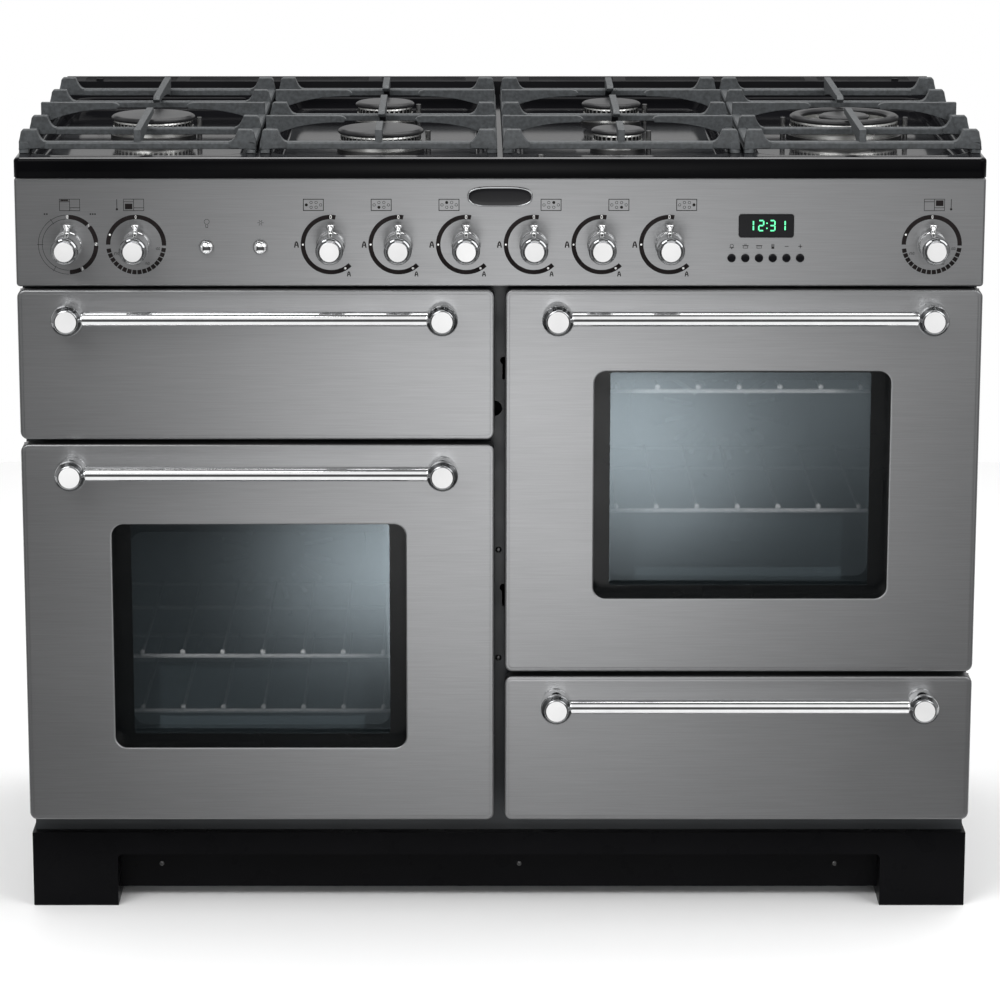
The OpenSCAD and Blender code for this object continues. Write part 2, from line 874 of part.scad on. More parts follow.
// A slot in the front frame for one oven hinge arm
module frame_slot(x, z) {
    play = 0.5;
    translate([x, 0, z])
        block([-arm_r - play, frame_y - cut, -arm_t / 2 - play],
            [arm_r + play, inner_y + cut, arm_t / 2 + play]);
}

// A keyhole in the centre column of the front frame
module keyhole(x, z) {
    head = 4.5;
    neck = 1.8;
    drop = 22;
    translate([x, frame_y - cut, z]) {
        y_rod(head, sheet + 2 * cut);
        block([-neck, 0, -drop], [neck, sheet + 2 * cut, 0]);
    }
}

// The hinge arms with their pins, and the drawer runners
module hinges_and_runners() {
    color("gray") {
        for (hz = left_hinge_zs)
            oven_arm(-hinge_x, hz);
        for (hz = right_hinge_zs)
            oven_arm(hinge_x, hz);
        for (sx = [-1, 1])
            grill_arm(-col_x + sx * drop_x);
        for (sx = [-1, 1])
            translate([col_x + sx * (box_w / 2 + runner_play + runner_w / 2), 0, 0])
                block([-runner_w / 2, inner_y, lip_z - slide_fit - runner_h],
                    [runner_w / 2, rear_y, lip_z - slide_fit]);
    }
}

// One oven hinge arm: a level plate with a pin, and its fixing plate behind the front frame
module oven_arm(x, z) {
    reach = inner_y - hinge_y;
    blade = arm_r - 0.8;
    plate = 16;
    pin_half = arm_t / 2 + arm_fit + pin_bite;
    translate([x, hinge_y, z]) {
        translate([0, 0, -arm_t / 2])
            cylinder(r = arm_r, h = arm_t, $fn = 48);
        block([-blade, 0, -arm_t / 2], [blade, reach + sheet, arm_t / 2]);
        block([-blade, reach, -plate], [blade, reach + sheet, plate]);
        translate([0, 0, -pin_half])
            cylinder(r = pin_r, h = 2 * pin_half, $fn = 48);
    }
}

// One grill hinge arm: an upright plate with a cross pin, and its fixing plate
module grill_arm(x) {
    reach = inner_y - drop_y;
    plate = 6;
    pin_half = arm_t / 2 + arm_fit + pin_bite;
    translate([x, drop_y, drop_z]) {
        translate([-arm_t / 2, 0, 0])
            x_rod(drop_arm_r, arm_t);
        block([-arm_t / 2, 0, -drop_arm_r], [arm_t / 2, reach + sheet, drop_arm_r]);
        block([-plate, reach, -drop_arm_r - plate],
            [plate, reach + sheet, drop_arm_r + plate]);
        translate([-pin_half, 0, 0])
            x_rod(drop_pin_r, 2 * pin_half);
    }
}

// The seals around the oven and grill mouths
module door_seals() {
    color(black) {
        seal(-col_x, left_oven_z, cavity_h);
        seal(col_x, right_oven_z, cavity_h);
        seal(-col_x, grill_mid_z, grill_h);
    }
}

// One seal: a flat ring with rounded corners round a mouth
module seal(x, mid_z, h) {
    inner_r = 4;
    translate([x, frame_y - seal_gap + slide_fit, mid_z])
        upright(seal_gap - slide_fit)
            difference() {
                polygon(round_rect(cavity_w + 2 * seal_w, h + 2 * seal_w, seal_w));
                polygon(round_rect(cavity_w, h, inner_r));
            }
}

// A liner box with a flange, its mouth on the back of the front frame
module liner(x, mid_z, h, d) {
    w = cavity_w;
    translate([x, inner_y, mid_z])
        difference() {
            union() {
                block([-w / 2 - sheet, 0, -h / 2 - sheet], [w / 2 + sheet, d + sheet, h / 2 + sheet]);
                block([-w / 2 - flange_w, 0, -h / 2 - flange_w],
                    [w / 2 + flange_w, sheet, h / 2 + flange_w]);
            }
            block([-w / 2, -cut, -h / 2], [w / 2, d, h / 2]);
        }
}

// The two oven liners with their shaft, lamp and element holes
module oven_liners() {
    color("darkslategray")
        for (o = [[-col_x, left_oven_z], [col_x, right_oven_z]])
            difference() {
                liner(o[0], o[1], cavity_h, cavity_d);
                translate([o[0], cavity_back_y - cut, o[1]]) {
                    y_rod(shaft_r + 2, sheet + 2 * cut);
                    for (sx = [-1, 1])
                        translate([sx * ring_leg_x(), 0, ring_leg_z()])
                            y_rod(tube_r - leg_step + hole_play, sheet + 2 * cut);
                    translate([lamp_x(), 0, lamp_z()])
                        y_rod(lamp_r - lamp_step, sheet + 2 * cut);
                }
            }
}

// Places of the heating ring's legs and of the lamp on an oven's back wall
function ring_leg_x() = 18;
function ring_leg_z() = -sqrt(ring_r * ring_r - ring_leg_x() * ring_leg_x());
function lamp_x() = cavity_w / 2 - lamp_r - 16;
function lamp_z() = cavity_h / 2 - lamp_r - 16;

// The grill liner with the holes for its element
module grill_liner() {
    color("darkslategray")
        difference() {
            liner(-col_x, grill_mid_z, grill_h, cavity_d);
            for (x = [-grill_leg_x(), grill_leg_x()])
                translate([-col_x + x, cavity_back_y - cut, grill_tube_z()])
                    y_rod(tube_r + hole_play, sheet + 2 * cut);
        }
}

// Places of the grill element's legs
function grill_leg_x() = 150;
function grill_tube_z() = grill_mid_z + grill_h / 2 - 14;

// The rings around the fans and the grill element
module heating_elements() {
    ring_y = cavity_back_y - 14;
    color("dimgray") {
        for (o = [[-col_x, left_oven_z], [col_x, right_oven_z]])
            translate([o[0], ring_y, o[1]]) {
                rotate([90, 0, 0])
                    rotate_extrude($fn = 96)
                        translate([ring_r, 0])
                            circle(r = tube_r, $fn = 24);
                for (sx = [-1, 1])
                    translate([sx * ring_leg_x(), 0, ring_leg_z()])
                        y_rod(tube_r - leg_step, 30);
            }
        grill_element();
    }
}

// The grill element: four runs joined by three bends
module grill_element() {
    run_x = grill_leg_x();
    step = 2 * run_x / 3;
    bend_r = step / 2;
    front = inner_y + element_front + bend_r;
    back = cavity_back_y - element_back - bend_r;
    translate([-col_x, 0, grill_tube_z()]) {
        for (x = [-run_x, run_x])
            translate([x, front, 0])
                y_rod(tube_r, cavity_back_y + element_leg - front);
        for (x = [-run_x + step, run_x - step])
            translate([x, front, 0])
                y_rod(tube_r, back - front);
        for (x = [-run_x + step / 2, run_x - step / 2])
            translate([x, front, 0])
                bend(bend_r, 180);
        translate([0, back, 0])
            bend(bend_r, 0);
    }
}

// A half-round tube bend in a level plane, turned by a
module bend(r, a) {
    side = r + 2 * tube_r;
    rotate([0, 0, a])
        intersection() {
            rotate_extrude($fn = 64)
                translate([r, 0])
                    circle(r = tube_r, $fn = 24);
            block([-side, 0, -side], [side, side, side]);
        }
}

// The fan motors with their shafts, the fan guards and the oven lamps
module oven_back_fittings() {
    for (o = [[-col_x, left_oven_z], [col_x, right_oven_z]])
        translate([o[0], cavity_back_y, o[1]]) {
            color("gray")
                translate([0, sheet, 0]) {
                    y_rod(motor_r, motor_d);
                    translate([0, -sheet - shaft_l, 0])
                        y_rod(shaft_r, shaft_l + sheet + 1);
                }
            color("dimgray")
                fan_guard();
            color("lightyellow")
                translate([lamp_x(), 0, lamp_z()]) {
                    translate([0, -8, 0])
                        y_rod(lamp_r, 8);
                    y_rod(lamp_r - lamp_step - slide_fit, 30);
                }
        }
}

// A round guard with radial slots, open at the back
module fan_guard() {
    slots = 16;
    translate([0, -guard_d, 0])
        difference() {
            y_rod(guard_r, guard_d);
            translate([0, sheet, 0])
                y_rod(guard_r - sheet, guard_d);
            for (i = [0:slots - 1])
                rotate([0, 360 / slots * (i + 0.5), 0])
                    block([guard_r * 0.32, -cut, -3], [guard_r * 0.78, sheet + cut, 3]);
        }
}

// A fan wheel: a disc, a hub on the motor shaft and radial blades
module oven_fan(x, z) {
    blades = 8;
    blade_t = 2;
    disc_t = 2;
    hub_r = 11;
    hub_l = fan_d + disc_t;
    tip = 2;
    hub_wall = 1.8;
    color("silver")
        translate([x, cavity_back_y - fan_d - fan_gap - disc_t, z])
            difference() {
                union() {
                    translate([0, fan_d, 0])
                        y_rod(fan_r, disc_t);
                    y_rod(hub_r, hub_l);
                    for (i = [0:blades - 1])
                        rotate([0, 360 / blades * i, 0])
                            block([hub_r - 1, 1, -blade_t / 2], [fan_r - tip, fan_d + 1, blade_t / 2]);
                }
                translate([0, hub_wall, 0])
                    y_rod(shaft_r + pin_fit, hub_l);
            }
}

// A wire shelf, its low corner at the front left
module shelf() {
    w = shelf_w;
    wires = floor((w - 20) / cross_pitch / 2);
    over = shelf_wire_r;
    for (y = [0, shelf_d * 0.66, shelf_d])
        translate([-w / 2, y, 0])
            x_rod(shelf_wire_r, w);
    for (sx = [-1, 1])
        translate([sx * (w / 2), -over, 0])
            y_rod(shelf_wire_r, shelf_d + 2 * over);
    for (i = [-wires:wires])
        translate([i * cross_pitch, -over - 1, cross_wire_r])
            y_rod(cross_wire_r, shelf_d + 2 * over + 2);
}

// A side ladder with one rung pair at each shelf level, its wall on the left or right
module ladder(s, levels, h) {
    r = ladder_r;
    wall = s * (cavity_w / 2 - r);
    rung = s * (shelf_w / 2 - 1);
    low = shelf_wire_r + r;
    front = ladder_back;
    back = ladder_back + ladder_d;
    for (y = [front + ladder_post, back - ladder_post])
        translate([wall, y, -h / 2])
            cylinder(r = r, h = h, $fn = 24);
    for (z = levels) {
        for (x = [wall, rung])
            translate([x, front, z - low - h / 2])
                y_rod(r, ladder_d);
        for (y = [front, back])
            translate([min(wall, rung), y, z - low - h / 2])
                x_rod(r, abs(wall - rung));
    }
}

// Shelves and ladders of both ovens, and the grill pan with its grid
module oven_furniture() {
    left = [low_shelf_h, low_shelf_h + left_shelf_step];
    right = [right_shelf_h, right_shelf_h + right_shelf_step];
    color("silver")
        for (o = [[-col_x, left_oven_z, left], [col_x, right_oven_z, right]])
            translate([o[0], inner_y, o[1]]) {
                for (z = o[2])
                    translate([0, shelf_back, z - cavity_h / 2])
                        shelf();
                for (s = [-1, 1])
                    ladder(s, o[2], cavity_h);
            }
    color(black)
        translate([-col_x, inner_y + 20, grill_mid_z - grill_h / 2])
            difference() {
                block([-pan_w / 2, 0, 0], [pan_w / 2, pan_d, pan_h]);
                block([-pan_w / 2 + sheet, sheet, sheet],
                    [pan_w / 2 - sheet, pan_d - sheet, pan_h + cut]);
            }
}

// The plinth: a front sheet with the toe recess, two hollow legs and the toe panel
module plinth() {
    x_in = half_w - leg_w;
    color(black) {
        difference() {
            translate([0, plinth_y, plinth_h / 2])
                upright(sheet)
                    polygon(round_rect(cooker_w, plinth_h, 1));
            translate([0, plinth_y - cut, 0])
                upright(sheet + 2 * cut)
                    polygon(round_rect(2 * x_in, 2 * toe_h, toe_r));
        }
        for (sx = [-1, 1]) {
            translate([sx * (half_w - sheet / 2), 0, 0])
                block([-sheet / 2, plinth_y + sheet, 0], [sheet / 2, plinth_y + leg_d, plinth_h]);
            translate([sx * (x_in + sheet / 2), 0, 0])
                block([-sheet / 2, plinth_y + sheet, 0], [sheet / 2, plinth_y + leg_d, plinth_h]);
        }
        block([-x_in, toe_y, toe_lift], [x_in, toe_y + sheet, plinth_h]);
        block([-x_in, plinth_y + sheet, toe_h], [x_in, toe_y, toe_h + sheet]);
        block([-half_w + sheet, plinth_y + sheet, plinth_h - sheet],
            [half_w - sheet, inner_y + sheet, plinth_h]);
        block([-x_in, inner_y + sheet, plinth_h - sheet], [x_in, toe_y, plinth_h]);
    }
}

// The control fascia: a folded sheet with holes for spindles, buttons and the clock
module fascia() {
    deep = frame_y - fascia_y;
    color(steel)
        difference() {
            translate([0, fascia_y, fascia_z + fascia_h / 2])
                soft_slab(cooker_w, fascia_h, 3.5, 2.5, deep);
            block([-half_w + sheet, fascia_in_y, fascia_z + sheet],
                [half_w - sheet, frame_y + cut, fascia_top - sheet]);
            for (x = concat(hob_knob_xs, oven_knob_xs()))
                translate([x, fascia_y - cut, knob_z])
                    y_rod(spindle_hole_r, sheet + 2 * cut);
            for (x = [-light_x, -spark_x])
                translate([x, fascia_y - cut, fascia_z + push_up])
                    y_rod(push_r + push_hole_gap, sheet + 2 * cut);
            for (x = key_xs)
                translate([x, fascia_y - cut, fascia_z + key_up])
                    y_rod(key_r + push_hole_gap, sheet + 2 * cut);
            translate([clock_x, fascia_y - cut, fascia_z + clock_up])
                upright(sheet + 2 * cut)
                    polygon(round_rect(clock_w, clock_h, clock_r));
        }
}

function oven_knob_xs() = [-outer_knob_x, -outer_knob_x + oven_knob_step, outer_knob_x];

// The clock window and the housing behind it, bored for the six keys
module clock_display() {
    side = 52;
    deep = 26;
    play = 0.2;
    proud = 1;
    low = key_up - key_r - 3;
    high = clock_up + clock_h / 2 + 5;
    color(black) {
        translate([clock_x, fascia_y - proud, fascia_z + clock_up])
            upright(sheet + proud)
                polygon(round_rect(clock_w - 2 * play, clock_h - 2 * play, clock_r - play));
        difference() {
            block([clock_x - side, fascia_in_y, fascia_z + low],
                [clock_x + side, fascia_in_y + deep, fascia_z + high]);
            for (x = key_xs)
                translate([x, fascia_in_y - cut, fascia_z + key_up])
                    y_rod(key_r + pin_fit, key_in + key_travel + key_rest + cut);
        }
    }
}

// The switches behind the fascia: three rotary ones and two push switches
module control_switches() {
    color("ivory") {
        for (x = oven_knob_xs())
            translate([x, fascia_in_y, knob_z]) {
                block([-switch_side / 2, 0, -switch_side / 2],
                    [switch_side / 2, switch_d, switch_side / 2]);
                spindle();
            }
        for (x = [-light_x, -spark_x])
            translate([x, fascia_in_y, fascia_z + push_up])
                difference() {
                    block([-push_box / 2, 0, -push_box / 2],
                        [push_box / 2, push_box_d, push_box / 2]);
                    translate([0, -cut, 0])
                        y_rod(push_r + pin_fit, button_back + push_travel + push_rest + cut);
                }
    }
}

// A control spindle from a tap or switch into the hub of its knob
module spindle() {
    reach = sheet + knob_reach - hub_depth - spindle_end;
    translate([0, -reach, 0])
        y_rod(spindle_r, reach + 1);
}

// The gas rail with its six taps, the feed tubes to the burners and the supply pipe
module gas_rail_and_taps() {
    rail_l = hob_knob_xs[0] - tap;
    color("gold") {
        for (i = [0:5])
            translate([hob_knob_xs[i], fascia_in_y, knob_z]) {
                block([-tap / 2, 0, -tap / 2], [tap / 2, tap_d, tap / 2]);
                spindle();
            }
        block([rail_l, tap_back_y, knob_z - rail_side / 2],
            [supply_x + rail_side / 2, tap_back_y + rail_side, knob_z + rail_side / 2]);
        translate([supply_x, tap_back_y + rail_side, knob_z])
            y_rod(supply_r, rear_y + sheet - tap_back_y - rail_side);
        translate([supply_x, rear_y + sheet, knob_z])
            y_rod(nipple_r, rear_space);
        for (i = [0:5])
            feed_tube(hob_knob_xs[i], burners[i]);
    }
}

// One feed tube: up from its tap, back under the hob and across to its burner
module feed_tube(x, b) {
    y0 = tap_back_y - feed_in;
    y1 = lip_y + b[1];
    side = b[0] < x ? 1 : -1;
    x1 = b[0] + side * injector / 2;
    translate([x, y0, knob_z + tap / 2])
        cylinder(r = feed_r, h = feed_z - knob_z - tap / 2, $fn = 32);
    translate([x, y0, feed_z])
        sphere(r = feed_r, $fn = 32);
    translate([x, y0, feed_z])
        y_rod(feed_r, y1 - y0);
    translate([x, y1, feed_z])
        sphere(r = feed_r, $fn = 32);
    translate([min(x, x1), y1, feed_z])
        x_rod(feed_r, abs(x - x1));
}

// A knob with its pointer peg and its spindle bore, about its axis at the fascia front
module knob(x) {
    r = knob_r;
    f = knob_face_r;
    l = knob_reach;
    peg_out = 11;
    peg_sunk = 5;
    color("gainsboro")
        translate([x, fascia_y, knob_z])
            difference() {
                union() {
                    rotate([90, 0, 0])
                        rotate_extrude($fn = 72)
                            polygon([[0, knob_gap], [r - 0.8, knob_gap], [r, knob_gap + 1],
                                [r, 7], [r - 1.2, 8.2], [r - 1.6, 10], [r - 1.2, 11.4],
                                [r - 1.4, l - 14], [r - 2, l - 8], [f + 1.6, l - 3.4],
                                [f + 0.5, l - 0.9], [f, l], [0, l]]);
                    translate([0, -peg_out, r - peg_sunk])
                        cylinder(r1 = peg_root_r, r2 = peg_tip_r, h = peg_reach - 1 - r + peg_sunk,
                            $fn = 40);
                    translate([0, -peg_out, peg_reach - 1])
                        cylinder(r1 = peg_tip_r, r2 = peg_tip_r - 1, h = 1, $fn = 40);
                }
                translate([0, hub_depth - knob_reach, 0])
                    y_rod(spindle_r + pin_fit, knob_reach);
            }
}

// A domed push button in its switch
module push_button(x) {
    dome = 11;
    rise = dome - sqrt(dome * dome - push_r * push_r);
    color("gainsboro")
        translate([x, fascia_y, fascia_z + push_up]) {
            translate([0, -button_out, 0])
                y_rod(push_r, sheet + button_out + button_back);
            intersection() {
                translate([0, dome - rise - button_out, 0])
                    sphere(r = dome, $fn = 64);
                translate([0, -button_out - rise - cut, 0])
                    y_rod(push_r, rise + cut + 1);
            }
        }
}

// One of the six keys under the clock
module clock_key(i) {
    color(black)
        translate([key_xs[i], fascia_y - key_out, fascia_z + key_up])
            y_rod(key_r, sheet + key_out + key_in);
}

// The hob plate: a rounded rim, four spill wells and the burner holes
module hob_plate() {
    long = vent_y - lip_y;
    color(black)
        difference() {
            union() {
                difference() {
                    translate([0, lip_y + long / 2, rim_z])
                        rotate([-90, 0, 0])
                            soft_slab(cooker_w, long, hob_r, hob_edge_r, lip_h);
                    block([-half_w + hob_t, lip_y + hob_t, fascia_top - cut],
                        [half_w - hob_t, vent_y + cut, rim_z - hob_t]);
                }
                for (x = [-outer_x, -inner_x, inner_x, outer_x])
                    well(x, well_w + 2 * hob_t, well_z - hob_t, rim_z - hob_t, hob_t);
            }
            for (x = [-outer_x, -inner_x, inner_x, outer_x])
                well(x, well_w, well_z, rim_z + cut, 0);
            for (b = burners)
                translate([b[0], lip_y + b[1], well_z - hob_t - cut])
                    cylinder(r = skirt_r + skirt_play, h = hob_t + 2 * cut, $fn = 64);
        }
}

// A spill well as a solid of a given width between two levels
module well(x, w, z0, z1, wall) {
    long = well_back - well_front;
    translate([x, lip_y + well_front + long / 2, z0])
        linear_extrude(z1 - z0)
            polygon(round_rect(w, long + 2 * wall, well_r + wall));
}

// The flue trim behind the hob with its slot rows and two fixing bolts
module rear_vent() {
    top = rim_z + vent_rise;
    deep = back_y - vent_y;
    groups = [[slot_mid, inner_x + slot_mid_over], [inner_x + slot_mid_over + slot_land,
        outer_x - slot_end_over - slot_land], [outer_x - slot_end_over, inner_x_max - slot_end]];
    rows = [for (i = [0:2]) vent_y + deep / 2 + (i - 1) * slot_row_pitch];
    bolt_h = 3;
    bolt_r = 4.5;
    color(black) {
        difference() {
            block([-inner_x_max, vent_y, fascia_top], [inner_x_max, back_y, top]);
            block([-inner_x_max + sheet, vent_y + sheet, fascia_top - cut],
                [inner_x_max - sheet, back_y - sheet, top - sheet]);
            for (sx = [0, 1])
                mirror([sx, 0, 0])
                    for (g = groups)
                        for (y = rows)
                            block([g[0], y - vent_slot / 2, top - sheet - cut],
                                [g[1], y + vent_slot / 2, top + cut]);
        }
        for (sx = [-1, 1])
            translate([sx * (inner_x_max - bolt_inset), vent_y + bolt_back, top])
                cylinder(r = bolt_r, h = bolt_h, $fn = 32);
    }
}

// The burner bases in the wells with their injector blocks, and the spark electrodes
module burner_bases_and_electrodes() {
    color("silver")
        for (b = burners)
            translate([b[0], lip_y + b[1], 0]) {
                translate([0, 0, well_z])
                    cylinder(r = head_r(b) + base_lip, h = base_t, $fn = 96);
                translate([0, 0, feed_z + injector / 2])
                    cylinder(r = skirt_r, h = well_z + 1 - feed_z - injector / 2, $fn = 64);
                block([-injector / 2, -injector / 2, feed_z - injector / 2],
                    [injector / 2, injector / 2, feed_z + injector / 2]);
            }
    color("ivory")
        for (b = burners)
            for (s = (b[0] > inner_x ? [-1, 1] : [1]))
                translate([b[0] + s * (head_r(b) + base_lip + spark_r + 1), lip_y + b[1], well_z])
                    cylinder(r = spark_r, h = rim_z + burner_rise - spark_low - well_z, $fn = 24);
}

// Radius of a burner head; the wok burner's head is its outer ring
function head_r(b) = b[0] > inner_x ? wok_r : b[2] - 3;

// The slotted aluminium burner heads
module burner_heads() {
    slots = 24;
    floor_t = 3;
    ring_t = 9;
    slot_half = 1.2;
    slot_low = 5;
    slot_top = 2.5;
    color("silver")
        for (b = burners) {
            r = head_r(b);
            translate([b[0], lip_y + b[1], well_z + base_t])
                difference() {
                    cylinder(r = r, h = head_h(), $fn = 96);
                    translate([0, 0, floor_t])
                        cylinder(r = r - ring_t, h = head_h(), $fn = 96);
                    for (i = [0:slots - 1])
                        rotate([0, 0, 360 / slots * i])
                            block([r - ring_t - 2, -slot_half, slot_low],
                                [r + cut, slot_half, head_h() - slot_top]);
                }
            if (b[0] > inner_x)
                translate([b[0], lip_y + b[1], well_z + base_t + floor_t])
                    cylinder(r = wok_mid_r - 2, h = head_h() - floor_t, $fn = 64);
        }
}

function cap_t() = 6;
function head_h() = rim_z + burner_rise - cap_t() - well_z - base_t;

// The black burner caps; the wok burner has a ring and a small middle cap
module burner_caps() {
    color(black)
        for (b = burners)
            translate([b[0], lip_y + b[1], well_z + base_t + head_h()])
                if (b[0] > inner_x) {
                    difference() {
                        cap_form(wok_r);
                        translate([0, 0, -cut])
                            cylinder(r = wok_r - wok_ring_w, h = cap_t() + 2 * cut, $fn = 96);
                    }
                    cap_form(wok_mid_r);
                } else
                    cap_form(b[2]);
}

// A burner cap with a rounded shoulder
module cap_form(r) {
    rotate_extrude($fn = 96)
        polygon([[0, 0], [r - 1, 0], [r, 1], [r, cap_t() - 3], [r - 0.9, cap_t() - 0.9],
            [r - 3, cap_t()], [0, cap_t()]]);
}

// A rail of a pan support along Y, with chamfered top edges
module rail_y(x, y0, y1, w, z0, z1) {
    c = 2;
    translate([x, y1, 0])
        rotate([90, 0, 0])
            linear_extrude(y1 - y0)
                polygon([[-w / 2, z0], [w / 2, z0], [w / 2, z1 - c], [w / 2 - c, z1],
                    [-w / 2 + c, z1], [-w / 2, z1 - c]]);
}

// A rail of a pan support along X, with chamfered top edges
module rail_x(y, x0, x1, w, z0, z1) {
    c = 2;
    translate([x0, y, 0])
        rotate([90, 0, 90])
            linear_extrude(x1 - x0)
                polygon([[-w / 2, z0], [w / 2, z0], [w / 2, z1 - c], [w / 2 - c, z1],
                    [-w / 2 + c, z1], [-w / 2, z1 - c]]);
}

// A raised end block at one station, on the left or right rail
module horn(s, y) {
    half = grate_w / 2;
    mirror([s < 0 ? 1 : 0, 0, 0])
        translate([0, y + horn_t / 2, 0])
            rotate([90, 0, 0])
                linear_extrude(horn_t)
                    polygon([[half - horn_w, rail_z], [half, rail_z], [half, grate_z - 6],
                        [half - 2.5, grate_z - 1], [half - 5, grate_z],
                        [half - horn_w + 5.5, grate_z], [half - horn_w + 2.5, grate_z - 2],
                        [half - horn_w, grate_z - 9]]);
}

// The side profile of a tapering finger, from its root at 0 to its tip at l
module finger_form(l) {
    top = grate_z;
    polygon([[0, rail_z], [0, top], [l - 7, top], [l - 2, top - 1.5], [l, top - 4.5],
        [l - 3, top - 8], [l * 0.5, top - 12], [14, rail_z + 1], [11, rail_z]]);
}

// A finger from a side rail towards the burner at one station
module side_finger(s, y) {
    l = grate_w / 2 - finger_free;
    mirror([s > 0 ? 1 : 0, 0, 0])
        translate([-grate_w / 2, y + finger_t / 2, 0])
            rotate([90, 0, 0])
                linear_extrude(finger_t)
                    finger_form(l);
}

// A finger along Y from its root at y0 to its tip at y1
module long_finger(y0, y1) {
    back = y1 < y0;
    translate([0, y0, 0])
        mirror([0, back ? 1 : 0, 0])
            translate([-finger_t / 2, 0, 0])
                rotate([90, 0, 90])
                    linear_extrude(finger_t)
                        finger_form(abs(y1 - y0));
}

// The frame that all pan supports share
module grate_frame() {
    half = grate_w / 2;
    front = station[0];
    back = station[4];
    rail_top = rim_z + rail_rise;
    for (s = [-1, 1]) {
        rail_y(s * (half - rail_w / 2), front - horn_t / 2, back + horn_t / 2, rail_w, rail_z,
            rail_top);
        for (y = [front, back])
            translate([s * (half - rail_w / 2), y, rim_z])
                block([-rail_w / 2, -horn_t / 2, 0], [rail_w / 2, horn_t / 2, grate_foot]);
    }
    for (y = [front, back])
        rail_x(y, -half, half, rail_w, rail_z, rail_top);
}

// A pan support over one burner
module outer_grate(x) {
    half = grate_w / 2;
    rail_top = rim_z + rail_rise;
    color("dimgray")
        translate([x, lip_y, 0]) {
            grate_frame();
            rail_x(station[1], -half, half, finger_t, rail_z, rail_top);
            rail_x(station[3], -half, half, finger_t, rail_z, rail_top);
            for (s = [-1, 1]) {
                for (i = [0, 1, 3, 4])
                    horn(s, station[i]);
                side_finger(s, station[2]);
            }
            long_finger(station[0] - rail_w / 2, station[2] - finger_free);
            long_finger(station[4] + rail_w / 2, station[2] + finger_free + 12);
        }
}

// A pan support over two burners
module inner_grate(x) {
    half = grate_w / 2;
    rail_top = rim_z + rail_rise;
    color("dimgray")
        translate([x, lip_y, 0]) {
            grate_frame();
            rail_x(station[2], -half, half, finger_t, rail_z, rail_top);
            for (s = [-1, 1]) {
                for (i = [0, 2, 4])
                    horn(s, station[i]);
                side_finger(s, station[1]);
                side_finger(s, station[3]);
            }
            long_finger(station[0] - rail_w / 2, station[1] - finger_free);
            long_finger(station[2] + finger_t / 2, station[1] + finger_free);
            long_finger(station[2] - finger_t / 2, station[3] - finger_free);
            long_finger(station[4] + rail_w / 2, station[3] + finger_free);
        }
}

base_frame();
side_panels();
rear_panel();
front_frame();
plinth();
fascia();
clock_display();
hob_plate();
rear_vent();
burner_bases_and_electrodes();
burner_heads();
burner_caps();
gas_rail_and_taps();
oven_liners();
grill_liner();
oven_furniture();
heating_elements();
oven_back_fittings();
door_seals();
hinges_and_runners();
control_switches();
rear_rollers();
levelling_feet();
oven_fan(-col_x, left_oven_z);  // left_oven_fan
oven_fan(col_x, right_oven_z);  // right_oven_fan
grill_skin();  // grill_door_panel
grill_pan_liner();  // grill_door_liner
handle(-col_x, doors_top);  // grill_door_handle
oven_skin(-col_x, doors_z, left_hinge_zs, -1);  // left_door_panel
oven_glass(-col_x, doors_z);  // left_door_glass
oven_pan(-col_x, doors_z, left_hinge_zs, -1);  // left_door_liner
handle(-col_x, left_door_top);  // left_door_handle
oven_skin(col_x, right_door_z, right_hinge_zs, 1);  // right_door_panel
oven_glass(col_x, right_door_z);  // right_door_glass
oven_pan(col_x, right_door_z, right_hinge_zs, 1);  // right_door_liner
handle(col_x, doors_top);  // right_door_handle
drawer_skin();  // drawer_front
drawer_tub();  // drawer_box
handle(col_x, doors_z + small_front_h);  // drawer_handle
knob(oven_knob_xs()[0]);  // knob_grill
knob(oven_knob_xs()[1]);  // knob_left_oven
knob(hob_knob_xs[0]);  // knob_hob_1
knob(hob_knob_xs[1]);  // knob_hob_2
knob(hob_knob_xs[2]);  // knob_hob_3
knob(hob_knob_xs[3]);  // knob_hob_4
knob(hob_knob_xs[4]);  // knob_hob_5
knob(hob_knob_xs[5]);  // knob_hob_6
knob(oven_knob_xs()[2]);  // knob_right_oven
push_button(-light_x);  // light_button
push_button(-spark_x);  // spark_button
clock_key(0);  // clock_key_1
clock_key(1);  // clock_key_2
clock_key(2);  // clock_key_3
clock_key(3);  // clock_key_4
clock_key(4);  // clock_key_5
clock_key(5);  // clock_key_6
outer_grate(-outer_x);  // pan_support_1
inner_grate(-inner_x);  // pan_support_2
inner_grate(inner_x);  // pan_support_3
outer_grate(outer_x);  // pan_support_4
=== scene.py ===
"""Dresses a 110 cm wide range cooker: steel fronts, chrome handles and knobs, hob, burners and grates."""

